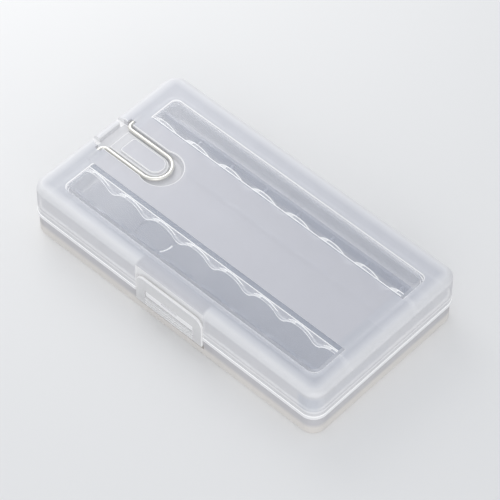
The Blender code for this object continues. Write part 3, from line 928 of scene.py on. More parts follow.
def new_group(name: str, inputs: dict[str, object], outputs: dict[str, str]) -> tuple:
    """Makes an empty node group with named sockets.

    Args:
        name: The group's name.
        inputs: Default of each input, by its name; a tuple of four is a colour and None a vector.
        outputs: Socket type of each output, by its name.

    Returns:
        The group, its node helper, its inputs' sockets by name, and its output node.
    """
    tree = bpy.data.node_groups.new(name, "ShaderNodeTree")
    for label, default in inputs.items():
        kind = "Vector" if default is None else "Color" if isinstance(default, tuple) else "Float"
        socket = tree.interface.new_socket(label, in_out="INPUT", socket_type=f"NodeSocket{kind}")
        if default is not None:
            socket.default_value = default
    for label, kind in outputs.items():
        tree.interface.new_socket(label, in_out="OUTPUT", socket_type=f"NodeSocket{kind}")
    nodes = Nodes(tree)
    return tree, nodes, nodes.add("NodeGroupInput").outputs, nodes.add("NodeGroupOutput")


def haze_group() -> bpy.types.NodeTree:
    """Group that mottles a moulded plastic: cloudy tone, uneven polish, veil and a fine grain.

    Returns:
        The group.
    """
    tree, nodes, given, leave = new_group(
        "moulded haze",
        {
            "Position": None, "Base Tone": (0.8, 0.8, 0.8, 1.0), "Cloud Tone": (0.9, 0.9, 0.9, 1.0),
            "Cloud Scale": 70.0, "Grain Scale": 2600.0, "Flow Scale": 110.0, "Grain": 0.2,
            "Polish": 0.3, "Polish Spread": 0.05, "Veil": 0.7, "Veil Spread": 0.05,
        },
        {"Color": "Color", "Roughness": "Float", "Veil": "Float", "Height": "Float", "Cloud": "Float"},
    )

    def noise(scale: str, detail: float = 2.0) -> bpy.types.NodeSocket:
        """A noise at the given position, of the named scale."""
        sources = {"Vector": given["Position"], "Scale": given[scale], "Detail": detail}
        return nodes.add("ShaderNodeTexNoise", sources).outputs["Fac"]

    cloud = noise("Cloud Scale", 3.0)
    rough = nodes.math("MULTIPLY", noise("Grain Scale"), given["Grain"])
    nodes.feed_all(leave.inputs, {
        "Cloud": cloud,
        "Color": nodes.mix("RGBA", cloud, given["Base Tone"], given["Cloud Tone"]),
        "Roughness": nodes.math("MULTIPLY_ADD", cloud, given["Polish Spread"], given["Polish"]),
        "Veil": nodes.math("MULTIPLY_ADD", cloud, given["Veil Spread"], given["Veil"]),
        "Height": nodes.math("ADD", rough, noise("Flow Scale")),
    })
    return tree


def depth_group(case: CaseSizes) -> bpy.types.NodeTree:
    """Group for the height, the depth inwards from the case's outline, and the place along the case.

    The place along is X on the latch side, and X and a metre on the hinge side.

    Args:
        case: The case's sizes.

    Returns:
        The group.
    """
    tree, nodes, given, leave = new_group(
        "outline depth", {"Position": None}, {"Height": "Float", "Depth": "Float", "Along": "Float"},
    )
    place = nodes.add("ShaderNodeSeparateXYZ", {"Vector": given["Position"]}).outputs
    past = []
    for axis, size in (("X", case.length), ("Y", case.width)):
        from_middle = nodes.math("ABSOLUTE", place[axis])
        past.append(nodes.math("SUBTRACT", from_middle, size / 2 - case.corner))
    squares = [nodes.math("POWER", nodes.math("MAXIMUM", value, 0.0), 2.0) for value in past]
    outside = nodes.math("SQRT", nodes.math("ADD", *squares))
    inside = nodes.math("MINIMUM", nodes.math("MAXIMUM", *past), 0.0)
    behind = nodes.math("GREATER_THAN", place["Y"], 0.0)
    nodes.feed_all(leave.inputs, {
        "Height": place["Z"],
        "Along": nodes.math("ADD", place["X"], behind),
        "Depth": nodes.math("SUBTRACT", case.corner, nodes.math("ADD", outside, inside)),
    })
    return tree


def band_group() -> bpy.types.NodeTree:
    """Group that is one between two limits each way and fades softly to zero inside them.

    Returns:
        The group.
    """
    tree, nodes, given, leave = new_group(
        "soft band",
        {
            "Height": 0.0, "Low": 0.0, "High": 1.0, "Height Fade": 0.001,
            "Depth": 0.0, "Near": -1.0, "Far": 1.0, "Depth Fade": 0.001,
            "Along": 0.0, "Start": -1.0, "End": 9.0, "Shoulder": 0.3,
        },
        {"Mask": "Float"},
    )
    mask: object = 1.0
    for value, low, high, softness in (
        ("Height", "Low", "High", "Height Fade"),
        ("Depth", "Near", "Far", "Depth Fade"),
        ("Along", "Start", "End", "Height Fade"),
    ):
        for upper, lower in ((value, low), (high, value)):
            past = nodes.math("SUBTRACT", given[upper], given[lower])
            fade = nodes.math("DIVIDE", past, given[softness], clamp=True)
            mask = nodes.math("MULTIPLY", mask, nodes.math("SMOOTH_MIN", fade, 1.0, given["Shoulder"]))
    nodes.feed(leave.inputs["Mask"], mask)
    return tree


@dataclass(frozen=True)
class Groups:
    """The node groups that all materials share."""

    haze: bpy.types.NodeTree
    depth: bpy.types.NodeTree
    band: bpy.types.NodeTree


@dataclass(frozen=True)
class Band:
    """A soft band of another tone on a plastic, by height, depth inwards and place along the case."""

    heights: Span
    tone: Tone
    share: float = 1.0
    fade: float = 1.0 * MM
    depths: Span = ANYWHERE
    depth_fade: float = 1.0 * MM
    veil: float = 0.8
    along: Span = (-BEYOND, HINGE_SIDE[1])
    cloud_gain: float = 1.06

    @property
    def cloud(self) -> Tone:
        """The tone where the plastic is cloudy."""
        return tuple(part * self.cloud_gain for part in self.tone)


@dataclass(frozen=True)
class Surface:
    """What the plastics and the wire share: a mottled tone, an uneven polish and a fine grain."""

    name: str
    tone: Tone
    cloud: Tone
    polish: float = 0.3
    polish_spread: float = 0.08
    cloud_scale: float = 70.0
    grain: float = 0.3
    bump: float = 0.02
    bump_height: float = 0.2 * MM
    veil: float = 0.7
    veil_spread: float = 0.04

    def begin(self, groups: Groups) -> tuple:
        """Makes the material with its tone, roughness and grain.

        Args:
            groups: The shared node groups.

        Returns:
            The material, its node helper, its shader's inputs, the position, and the haze group's outputs.
        """
        material = bpy.data.materials.new(self.name)
        material.use_nodes = True
        nodes = Nodes(material.node_tree)
        inputs = material.node_tree.nodes["Principled BSDF"].inputs
        where = nodes.add("ShaderNodeTexCoord").outputs["Object"]
        mottle = nodes.group(
            groups.haze, position=where, base_tone=(*self.tone, 1.0), cloud_tone=(*self.cloud, 1.0),
            cloud_scale=self.cloud_scale, polish=self.polish, polish_spread=self.polish_spread,
            grain=self.grain, veil=self.veil, veil_spread=self.veil_spread,
        )
        bump = nodes.add("ShaderNodeBump", {
            "Strength": self.bump, "Distance": self.bump_height, "Height": mottle["Height"],
        })
        nodes.feed_all(inputs, {
            "Base Color": mottle["Color"],
            "Roughness": mottle["Roughness"],
            "Normal": bump.outputs["Normal"],
        })
        return material, nodes, inputs, where, mottle


@dataclass(frozen=True)
class Plastic(Surface):
    """Milky plastic, more or less see-through, with soft bands of another tone and a painted glow; many of
    the bands are painted highlights and painted shade.
    """

    shadow_share: float = 0.35
    # painted glow: emission in the plastic's own colour, which brightens a face though it is no lamp
    painted_glow: float = 0.0
    bands: tuple[Band, ...] = ()
    refraction: float = 1.49
    gloss: float = 0.5

    def build(self, groups: Groups) -> bpy.types.Material:
        """Makes the material from the shared groups.

        Args:
            groups: The shared node groups.

        Returns:
            The material.
        """
        material, nodes, inputs, where, mottle = self.begin(groups)
        colour, veil = mottle["Color"], mottle["Veil"]
        place = nodes.group(groups.depth, position=where) if self.bands else {}
        for band in self.bands:
            mask = nodes.group(
                groups.band, height=place["Height"], depth=place["Depth"], along=place["Along"],
                low=band.heights[0], high=band.heights[1], near=band.depths[0], far=band.depths[1],
                start=band.along[0], end=band.along[1], height_fade=band.fade, depth_fade=band.depth_fade,
            )["Mask"]
            share = nodes.math("MULTIPLY", mask, band.share)
            tone = nodes.mix("RGBA", mottle["Cloud"], (*band.tone, 1.0), (*band.cloud, 1.0))
            colour = nodes.mix("RGBA", share, colour, tone)
            veil = nodes.mix("FLOAT", share, veil, band.veil)
        shadow = nodes.add("ShaderNodeLightPath").outputs["Is Shadow Ray"]
        kept = nodes.math("MULTIPLY_ADD", shadow, self.shadow_share - 1.0, 1.0)
        behind = nodes.add("ShaderNodeNewGeometry").outputs["Backfacing"]
        nodes.feed_all(inputs, {
            "Base Color": colour,
            "IOR": self.refraction,
            "Alpha": nodes.math("MULTIPLY", veil, kept),
            "Specular IOR Level": nodes.math("MULTIPLY_ADD", behind, -self.gloss, self.gloss),
            # the painted glow, in the surface's own colour
            "Emission Color": colour,
            "Emission Strength": self.painted_glow,
        })
        return material


@dataclass(frozen=True)
class SteelWire(Surface):
    """Bright drawn wire with a slightly uneven polish."""

    tone: Tone = (0.84, 0.825, 0.77)
    cloud: Tone = (0.92, 0.905, 0.85)
    polish: float = 0.4
    polish_spread: float = 0.12
    cloud_scale: float = 400.0
    grain: float = 0.6
    bump: float = 0.08
    bump_height: float = 0.1 * MM

    def build(self, groups: Groups) -> bpy.types.Material:
        """Makes the material from the shared groups.

        Args:
            groups: The shared node groups.

        Returns:
            The material.
        """
        material, nodes, inputs, _, _ = self.begin(groups)
        nodes.feed(inputs["Metallic"], 1.0)
        return material


# Pieces

Dress = dict[Finish, bpy.types.Material]


@dataclass
class Maker:
    """What every piece needs: the sizes, and a way to finish a solid as a piece of the frame."""

    case: CaseSizes
    hook: HookSizes
    clip: ClipSizes
    hinge: HingeSizes

    @property
    def hook_axis(self) -> Point:
        """The hook's pivot, as X and Z."""
        return (-self.case.length / 2 + self.hook.from_end, self.case.height - self.hook.depth)

    @property
    def clip_axis(self) -> Point:
        """The clip's pivot, as Y and Z."""
        return (self.clip_inner + self.clip.axis_behind, self.clip.bottom + self.clip.axis_above_foot)

    @property
    def clip_outer(self) -> float:
        """Y of the clip's outer face."""
        return -self.case.width / 2 - self.clip.proud

    @property
    def clip_inner(self) -> float:
        """Y of the clip's inner face."""
        return self.clip_outer + self.clip.thickness

    @property
    def recess_half(self) -> float:
        """Half of the width that the clip's recess takes."""
        return self.clip.width / 2 + self.case.fit

    @property
    def hinge_axis(self) -> Point:
        """The lid's hinge, as Y and Z."""
        return (self.case.width / 2 + self.hinge.behind, self.case.seam)

    def finish(self, solid: Solid, name: str, node: str, body: Body, slot: Slot,
               dress: Dress) -> bpy.types.Object:
        """Merges, shades and dresses a solid and puts it in the frame in place of a node.

        Args:
            solid: The solid.
            name: Name of the piece.
            node: Node of the frame that it replaces.
            body: Body that it rides on.
            slot: The record's material slot that it stands for; not used.
            dress: Material of each finish.

        Returns:
            The piece.
        """
        piece = solid.object
        piece.name = name
        piece.data.name = name
        shape = bmesh.new()
        shape.from_mesh(piece.data)
        bmesh.ops.remove_doubles(shape, verts=shape.verts, dist=WELD)
        bmesh.ops.dissolve_degenerate(shape, dist=WELD, edges=shape.edges)
        bmesh.ops.recalc_face_normals(shape, faces=shape.faces)
        shape.to_mesh(piece.data)
        shape.free()
        for finish in Finish:
            place = piece.data.materials.find(placeholder(finish).name)
            if place >= 0:
                piece.data.materials[place] = dress[finish]
        piece.data.shade_smooth()
        piece.data.set_sharp_from_angle(angle=math.radians(SHARP_EDGE))
        even = piece.modifiers.new("even shading", "WEIGHTED_NORMAL")
        even.keep_sharp = True
        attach(piece, body.value)
        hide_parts(node)
        LOG.info("%s: %d faces", name, len(piece.data.polygons))
        return piece


def scalloped_edge(case: CaseSizes, radius: float, tip_distance: float, steps: int = 16) -> Outline:
    """Round arches over the cells with round teeth between them.

    Args:
        case: The case's sizes.
        radius: Radius of the arches.
        tip_distance: Height of the teeth's tips over the arches' centres.
        steps: Chords along one arch.

    Returns:
        Pairs of X and height over the arches' centres.
    """
    half_pitch = case.cells.pitch / 2
    tooth_radius = (half_pitch ** 2 + tip_distance ** 2 - radius ** 2) / (2 * (radius - tip_distance))
    tooth_height = tip_distance + tooth_radius
    meeting = math.degrees(math.atan2(tooth_height, half_pitch))
    half_steps = steps // 4
    first_tooth = (case.first_cell - half_pitch, tooth_height)
    points = arc(first_tooth, tooth_radius, 270, 360 - meeting, half_steps)
    for index, place in enumerate(case.cell_places):
        points += arc((place, 0.0), radius, 180 - meeting, meeting, steps)[1:]
        last = index == case.cells.count - 1
        tooth_end = 270 if last else 360 - meeting
        count = half_steps if last else 2 * half_steps
        points += arc((place + half_pitch, tooth_height), tooth_radius, 180 + meeting, tooth_end, count)[1:]
    return points


class BaseTray(Maker):
    """The lower shell."""

    def shell(self) -> Solid:
        """Floor, walls and upstand in one skin.

        Returns:
            The solid.
        """
        case = self.case
        gap = case.skirt + case.fit + case.rim_proud
        inner = case.overhang + case.base_wall
        edge = case.rim_edge
        levels = Levels.start(0.0, case.overhang + case.bottom_round)
        levels.round(case.bottom_round, -case.bottom_round, level_first=True)
        # EDGE paints highlights on the rounded rims and flat tops of the shoulder and the upstand.
        levels.shoulder(case.base_top, case.overhang, edge).to(case.base_top, gap, Finish.EDGE)
        levels.shoulder(case.upstand_top, gap, edge).to(case.upstand_top, inner, Finish.EDGE)
        levels.to(case.floor + case.inner_round, inner, Finish.INNER)
        levels.round(-case.inner_round, case.inner_round, Finish.INNER)
        box = centred_box(case.length, case.width, case.corner)
        return loft("base", box.outline, levels, (Finish.FROST, Finish.FLOOR))

    def cradle_rib(self, side: int) -> Solid:
        """A low rib across the floor with a shallow seat for each cell.

        Args:
            side: The side, -1 at the latch and 1 at the hinge.

        Returns:
            The solid.
        """
        case = self.case
        reach = case.inner_length / 2 + case.root
        radius = case.cells.radius + case.cells.seat_play
        top, low = case.cell_axis - radius + case.cradle_wrap, case.floor - case.root
        spread = math.degrees(math.acos((case.cell_axis - top) / radius))
        outline = [(-reach, top)]
        for place in case.cell_places:
            outline += arc((place, case.cell_axis), radius, DOWN - spread, DOWN + spread, case.seat_steps)
        outline += [(reach, top), (reach, low), (-reach, low)]
        return plate(
            "cradle", outline, case.rib_span(side), Facing.FRONT, case.rim_edge, Finish.FLOOR, Finish.FLOOR,
        )

    def end_stop(self, side: int) -> Solid:
        """The upright wall that the cells' ends meet.

        Args:
            side: The side, -1 at the latch and 1 at the hinge.

        Returns:
            The solid.
        """
        case = self.case
        y_range = mirrored_range(case.stop_face, case.stop_face + case.stop_thickness, side)
        reach = case.inner_length / 2 + case.root
        z_range = (case.floor - case.root, case.stop_height)
        return block("stop", (-reach, reach), y_range, z_range, case.rim_edge, Finish.FLOOR)

    def fin(self, place: float, side: int) -> Solid:
        """A short upright fin between two cells' ends.

        Args:
            place: Its middle along the case.
            side: The side, -1 at the latch and 1 at the hinge.

        Returns:
            The solid.
        """
        case = self.case
        x_range = around(place, case.fin_thickness / 2)
        y_range = mirrored_range(case.stop_face - case.fin_length, case.stop_face + case.root, side)
        z_range = (case.floor - case.root, case.cell_axis - case.fin_below_axis)
        return block("fin", x_range, y_range, z_range, case.rim_edge, Finish.FLOOR)

    @property
    def mark_centre(self) -> Point:
        """Centre of the floor's round mark."""
        case = self.case
        mark_x = case.boundary_places[case.mark_boundary - 1] - case.mark_before_boundary
        return (mark_x, -case.stop_face + case.mark_from_stop)

    def mark_ring(self, depth: float, finish: Finish) -> Solid:
        """A cutter for a ring that is sunk into the floor.

        Args:
            depth: How deep it cuts.
            finish: Finish that it leaves.

        Returns:
            The cutter.
        """
        case = self.case
        low, high = case.floor - depth, case.floor + case.overcut
        ring = loft(
            "mark", Disc(self.mark_centre, case.mark_radius).outline,
            Levels.start(low, 0.0).to(high, 0.0, finish), (finish, finish),
        )
        core = Levels.start(low - case.overcut, 0.0).to(high + case.overcut, 0.0, finish)
        inner = Disc(self.mark_centre, case.mark_radius - case.mark_line)
        return ring.cut(loft("core", inner.outline, core))

    def mark_glint(self) -> Solid:
        """The part of the ring towards the latch and away from the hook, where a painted highlight lies
        along its edge.

        Returns:
            The cutter.
        """
        case = self.case
        x, y = self.mark_centre
        far, past = 2 * case.mark_radius, case.mark_line
        glint = self.mark_ring(case.mark_depth + case.hair, Finish.GLINT)
        span = (-case.overcut, case.floor + 2 * case.overcut)
        left = block("left", (x - far, x - past), (y - far, y + far), span)
        back = block("back", (x - far, x + far), (y + past, y + far), span)
        return glint.cut(left, back)

    def clip_cutters(self) -> list[Solid]:
        """What is cut out of the front wall for the clip, its barrel and its pins.

        Returns:
            The cutters.
        """
        case, clip = self.case, self.clip
        half, axis = self.recess_half, self.clip_axis
        sweep_radius = math.hypot(axis[0] - self.clip_outer, clip.axis_above_foot) + case.fit
        sweep = arc(axis, sweep_radius, *clip.sweep_angles, clip.sweep_steps) + [axis]
        return [
            block(
                "recess", (-half, half), (-case.base_width / 2 - case.overcut, self.clip_inner + case.fit),
                (axis[1], case.base_top + case.overcut),
            ),
            plate("sweep", sweep, (-half, half), Facing.SIDE),
            spindle("pocket", half, axis, clip.barrel_radius + case.fit),
            spindle("sockets", half + clip.pin_length, axis, clip.pin_radius + case.fit),
        ]

    def clip_pad(self) -> Solid:
        """The thicker wall behind the clip.

        Returns:
            The solid.
        """
        case, clip = self.case, self.clip
        half = self.recess_half + clip.pin_length + clip.socket_end
        back = self.clip_axis[0] + clip.barrel_radius + case.fit + case.pad_wall
        front = -case.base_width / 2 + case.root
        return block("pad", (-half, half), (front, back), (case.floor - case.root, case.base_top))

    def upstand_notch(self) -> Solid:
        """The gap in the upstand that the lid's latch wall reaches into.

        Returns:
            The cutter.
        """
        case, clip = self.case, self.clip
        half = self.recess_half + case.pad_wall + case.fit
        back = self.clip_inner + clip.back_gap + case.pad_wall + case.fit
        front = -case.base_width / 2 - case.overcut
        return block("notch", (-half, half), (front, back), (case.base_top, case.upstand_top + case.overcut))

    def lugs(self) -> list[Solid]:
        """The hinge lugs beside each knuckle.

        Returns:
            The solids.
        """
        case, hinge = self.case, self.hinge
        y, z = self.hinge_axis
        rear, low = case.base_width / 2 - case.root, z - hinge.radius - hinge.lug_foot
        near = hinge.knuckle_length / 2 + case.fit
        outline = arc((y, z), hinge.radius, *hinge.lug_angles, hinge.lug_steps)
        outline += [(rear, low), (rear, case.base_top), (y - hinge.radius, case.base_top)]
        made = []
        for station in hinge.stations:
            for side in (-1, 1):
                start, end = mirrored_range(near, near + hinge.lug_thickness, side)
                span = (station + start, station + end)
                made.append(plate("lug", outline, span, Facing.SIDE, hinge.edge_round))
        return made

    def bores(self) -> list[Solid]:
        """The bores that the lid's trunnions turn in.

        Returns:
            The cutters.
        """
        case, hinge = self.case, self.hinge
        reach = hinge.knuckle_length / 2 + case.fit + hinge.pin_length
        radius = hinge.pin_radius + case.fit
        return [spindle("bore", reach, self.hinge_axis, radius, station) for station in hinge.stations]

    def build(self, dress: Dress) -> bpy.types.Object:
        """Makes the base and puts it in the frame.

        Args:
            dress: Material of each finish.

        Returns:
            The piece.
        """
        base = self.shell()
        base.cut(self.mark_ring(self.case.mark_depth, Finish.FLOOR), self.mark_glint())
        inner = []
        for side in (-1, 1):
            inner += [self.cradle_rib(side), self.end_stop(side)]
            inner += [self.fin(place, side) for place in self.case.boundary_places]
        base.join(*inner)
        base.cut(self.upstand_notch())
        base.join(self.clip_pad(), *self.lugs())
        base.cut(*self.clip_cutters(), *self.bores())
        return self.finish(base, "base_shell", "base_tray", Body.BASE, Slot.PLASTIC, dress)


class Lid(Maker):
    """The upper shell with its windows, rails, hook seat and latch ledge."""

    # Face directions that choose painted light: rail flanks leaning this way and upright panel edges get the
    # LIP highlight, and frame faces turned away from the camera take the dimmer RIB in place of the EDGE
    # highlight.
    FLANK_LEAN = 0.25
    FLANK_LIMIT = 0.7
    UPRIGHT = 0.9
    TURNED_AWAY = 0.5

    def shell(self) -> Solid:
        """Rim, walls and plate in one skin, from the plate's underside round to its top.

        Returns:
            The solid.
        """
        case = self.case
        rim, skirt = case.rim_proud, case.rim_proud + case.skirt
        wall, edge, inner_round = case.rim_proud + case.lid_wall, case.rim_edge, case.inner_round
        step = case.upstand_top + case.fit
        levels = Levels.start(case.plate_underside, wall + inner_round)
        levels.round(-inner_round, -inner_round, Finish.INNER, level_first=True)
        # EDGE paints highlights on the step, on the rim's lower edge and on its rounding.
        levels.to(step, wall, Finish.INNER).to(step, skirt, Finish.EDGE).to(case.seam, skirt, Finish.INNER)
        levels.to(case.seam, edge, Finish.EDGE).round(edge, -edge, Finish.EDGE, 3, level_first=True)
        levels.shoulder(case.seam + case.rim_height, 0.0, rim, steps=4)
        levels.shoulder(case.height, rim, case.top_round, Finish.FROST, case.top_steps)
        box = centred_box(case.length, case.width, case.corner, case.lid_corner_steps)
        return loft("lid", box.outline, levels, (Finish.CLEAR, Finish.FROST))

    def window_frame(self) -> Solid:
        """The rib under the plate along the outer edges of the windows.

        Returns:
            The solid.
        """
        case = self.case
        low, high = case.plate_underside - case.frame_depth, case.plate_underside + case.root
        glow, edge = case.plate_underside - case.frame_glow, case.frame_edge
        wider = 2 * case.frame_thickness
        box = centred_box(
            case.window_length + wider, case.window_spread + wider, case.frame_corner + case.frame_thickness,
        )
        # EDGE paints highlights on the rib's rounded foot and on the upper band of its faces, above the glow
        # height.
        levels = Levels.foot(low, edge, Finish.EDGE).to(glow, 0.0, Finish.RIB).to(high, 0.0, Finish.EDGE)
        rib = loft("frame", box.outline, levels, (Finish.RIB, Finish.RIB))
        hole = centred_box(case.window_length, case.window_spread, case.frame_corner)
        levels = Levels.start(low - case.overcut, -edge).to(low, -edge, Finish.EDGE)
        levels.round(edge, edge, Finish.EDGE, 3, level_first=True)
        levels.to(glow, 0.0, Finish.RIB).to(high + case.overcut, 0.0, Finish.EDGE)
        rib.cut(loft("hole", hole.outline, levels))
        # Faces turned away from the camera, above the glow height, lose the painted highlight and take the
        # dimmer RIB.
        return rib.refinish(Finish.RIB, lambda face: (
            max(face.normal.y, -face.normal.x) > self.TURNED_AWAY and face.center.z > glow
        ))

    def rail(self, side: int) -> Solid:
        """The scalloped rail that dips between the cells, with a painted highlight line along its edge in
        front.

        Args:
            side: The side, -1 at the latch and 1 at the hinge.

        Returns:
            The solid.
        """
        case = self.case
        span = case.rib_span(side)
        reach = case.lid_length / 2 - case.lid_wall + case.root
        radius = case.cells.radius + case.rail_arch_play
        arch_axis = case.plate_underside - case.rail_arch_roof - radius
        tip, top = case.plate_underside - case.rail_depth, case.plate_underside + case.root
        edge = scalloped_edge(case, radius, tip - arch_axis)
        bottom = [(x, arch_axis + height) for x, height in edge if abs(x) < reach]
        outline = [(-reach, tip), *bottom, (reach, tip), (reach, top), (-reach, top)]
        # EDGE paints highlights along the rounded rims.
        rail = plate("rail", outline, span, Facing.FRONT, case.rail_edge, Finish.RIB, Finish.EDGE)
        # A painted highlight: the LIP finish on the flanks of the teeth that lean towards +X.
        rail.refinish(Finish.LIP, lambda face: self.FLANK_LEAN < face.normal.x < self.FLANK_LIMIT)
        # A painted highlight line in GLINT along the bottom of the front face.
        strip = bottom + [(x, z + case.rail_line) for x, z in reversed(bottom)]
        front = (span[0] - case.overcut, span[0] + case.hair)
        return rail.cut(plate("line", strip, front, Facing.FRONT, finish=Finish.GLINT))

    def rail_strips(self, side: int) -> list[Solid]:
        """Hair-deep cuts in the plate's underside: a painted highlight along a rail's root and a strip of
        painted shade beside it.

        Args:
            side: The side, -1 at the latch and 1 at the hinge.

        Returns:
            The cutters.
        """
        case = self.case
        root = (case.rib_spacing - case.rib_thickness) / 2 - case.hair
        x_range = around(0.0, case.window_length / 2 - case.hair)
        z_range = (case.plate_underside - case.root, case.plate_underside + case.hair)
        strips = (
            (root, case.root_line, Finish.EDGE),
            (root - case.root_line, case.shade_width, Finish.SHADE),
        )
        return [
            block("strip", x_range, mirrored_range(far - width, far, side), z_range, finish=finish)
            for far, width, finish in strips
        ]

    def window_cutter(self, side: int) -> Solid:
        """A shallow cut that sinks one window, upright at the panel and gently sloped elsewhere.

        Args:
            side: The side, -1 at the latch and 1 at the hinge.

        Returns:
            The cutter.
        """
        case = self.case
        past, slope = case.window_past_frame, case.window_slope / 2
        radii = case.window_radii(side, case.frame_corner + past)
        reach, far = case.window_length / 2 + past, case.window_spread / 2 + past

        def outline(inset: float) -> Outline:
            """The window's outline with its three outer sides moved inwards."""
            y_range = mirrored_range(case.panel_width / 2, far - inset, side)
            return RoundedBox((inset - reach, reach - inset), y_range, radii).outline(0.0)

        levels = Levels.start(case.height - case.window_sink, slope).to(case.height, -slope)
        window = loft("window", outline, levels.to(case.height + case.overcut, -slope))
        # The upright wall at the panel takes LIP, a painted highlight line along the panel's edge.
        return window.refinish(Finish.LIP, lambda face: abs(face.normal.y) > self.UPRIGHT)

    def pane(self, side: int, finish: Finish, line: float, depth: float) -> Solid:
        """A hair-deep cut for the clear part of a window, as far as the rib below lets it be seen through.

        Args:
            side: The window's side, -1 at the latch.
            finish: Finish of the cut's floor.
            line: How much further it reaches, where a painted highlight line lies over the rib's upper
                corner.
            depth: Its depth under the sunk window.

        Returns:
            The cutter.
        """
        case = self.case
        edge, low = case.window_spread / 2, case.height - case.window_sink - depth
        far = edge + case.pane_past_frame if side < 0 else edge - case.pane_inside_far + line
        y_range = mirrored_range(case.panel_width / 2, far, side)
        reach = case.window_length / 2
        x_range = (case.pane_inside_end - reach - line, reach + case.pane_past_frame)
        box = RoundedBox(x_range, y_range, case.window_radii(side, case.frame_corner))
        return loft("pane", box.outline, Levels.start(low, 0.0).to(case.height, 0.0), (finish, Finish.FROST))

    def hook_seat(self) -> list[Solid]:
        """The shallow tray under the plate, the boss round the wire's ends and the pad at the edge.

        Returns:
            The solids.
        """
        case, hook = self.case, self.hook
        x, z = self.hook_axis
        bottom = self.groove_floor - hook.groove_wall
        top = case.plate_underside + case.root
        start = x - hook.trench_before_pivot - hook.groove_wall
        tray = Bullet(start, self.thumb_centre, hook.thumb_radius + hook.groove_wall)
        levels = Levels.foot(bottom, hook.lip, Finish.INNER).to(top, 0.0, Finish.INNER)
        seat = loft("seat", tray.outline, levels, (Finish.INNER, Finish.INNER))
        reach = hook.wire / 2 + hook.bore_play + hook.boss_wall
        half = self.bore_reach + hook.boss_wall
        boss = block("boss", around(x, reach), (-half, half), (z - reach, top), finish=Finish.INNER)
        pad_half = self.groove_half + hook.groove_wall
        edge_x = -case.length / 2 + case.rim_proud + case.root
        pad = block("end_pad", (edge_x, start + case.overcut), (-pad_half, pad_half), (bottom, top))
        return [seat, boss, pad]

    @property
    def groove_floor(self) -> float:
        """Height of the groove's floor."""
        return self.hook_axis[1] - self.hook.wire / 2 - self.case.fit

    @property
    def groove_half(self) -> float:
        """Half of the groove's outer width."""
        return self.hook.width / 2 + self.hook.wire / 2 + self.hook.groove_side

    @property
    def bend_centre(self) -> float:
        """X of the hook's bend."""
        return self.hook_axis[0] + self.hook.reach - self.hook.width / 2

    @property
    def thumb_centre(self) -> float:
        """X of the thumb hollow's centre."""
        return self.bend_centre + self.hook.thumb_from_bend

    @property
    def bore_reach(self) -> float:
        """How far from the middle the wire's bores reach."""
        return self.hook.width / 2 + self.hook.end_length + self.hook.end_play

    def groove(self) -> Solid:
        """What is cut out of the plate: the trench, the groove round the island and the thumb hollow.

        Returns:
            The cutter.
        """
        case, hook = self.case, self.hook
        low, high, over, lip = self.groove_floor, case.height, case.height + case.overcut, hook.lip
        trench = Bullet(self.hook_axis[0] - hook.trench_before_pivot, self.bend_centre, self.groove_half)
        # LIP paints a highlight on the rounded lips of the groove and of the thumb hollow.
        levels = Levels.foot(low, lip).shoulder(high, 0.0, -lip, Finish.LIP, 4).to(over, -lip)
        groove = loft("groove", trench.outline, levels)
        hollow = Disc((self.thumb_centre, 0.0), hook.thumb_radius)
        levels = Levels.start(low, hook.thumb_slope).shoulder(high, 0.0, -lip, Finish.LIP, 4).to(over, -lip)
        groove.join(loft("thumb", hollow.outline, levels))
        return groove.cut(self.island())

    def island(self) -> Solid:
        """The raised island inside the groove, with a second step on it.

        Returns:
            The solid.
        """
        case, hook = self.case, self.hook
        x, lip = self.hook_axis[0], hook.lip
        half = hook.width / 2 - hook.wire / 2 - hook.groove_side
        step = case.height - hook.island_sink
        lower = Bullet(x + hook.island_from_pivot, self.bend_centre, half)
        # LIP paints a highlight on the rounded shoulders of the island and of its step.
        levels = Levels.start(self.groove_floor - case.overcut, 0.0).shoulder(step, 0.0, lip, Finish.LIP, 4)
        island = loft("island", lower.outline, levels)
        upper = Bullet(x + hook.pad_from_pivot, self.bend_centre, half - hook.pad_inset, hook.pad_corner)
        levels = Levels.start(step - case.root, 0.0)
        levels.shoulder(case.height - hook.pad_sink, 0.0, lip, Finish.LIP, 4)
        return island.join(loft("pad", upper.outline, levels))

    def wire_cutters(self) -> list[Solid]:
        """The two slots through the edge, and the pockets and bores for the wire's ends.

        Returns:
            The cutters.
        """
        case, hook = self.case, self.hook
        x, z = self.hook_axis
        open_range = (self.groove_floor, case.height + case.overcut)
        made = []
        for side in (-1, 1):
            middle = side * hook.width / 2
            x_range, y_range = (-case.length / 2 - case.overcut, x), around(middle, hook.wire / 2 + case.fit)
            # LIP paints light onto the slot's walls, which would lie in shade.
            slot = block("slot", x_range, y_range, open_range, finish=Finish.LIP)
            x_range = around(x, hook.wire / 2 + hook.groove_side)
            y_range = mirrored_range(hook.width / 2, self.groove_half + hook.end_shown, side)
            pocket = block("pocket", x_range, y_range, open_range)
            start, end = (x, middle, z), (x, side * self.bore_reach, z)
            bore = rod("bore", start, end, hook.wire / 2 + hook.bore_play, finish=Finish.CLEAR)
            made += [slot, pocket, bore]
        return made

    def latch_recess(self, lid: Solid) -> None:
        """Steps the front wall in behind the clip and stands the ledge out of it.

        Args:
            lid: The lid so far.
        """
        case, clip = self.case, self.clip
        face = self.clip_inner + clip.back_gap
        half = self.recess_half
        pad = block(
            "pad", (-half - case.pad_wall, half + case.pad_wall),
            (-case.lid_width / 2 + case.lid_wall - case.root, face + case.pad_wall),
            (case.seam, case.plate_underside + case.root),
        )
        lid.join(pad)
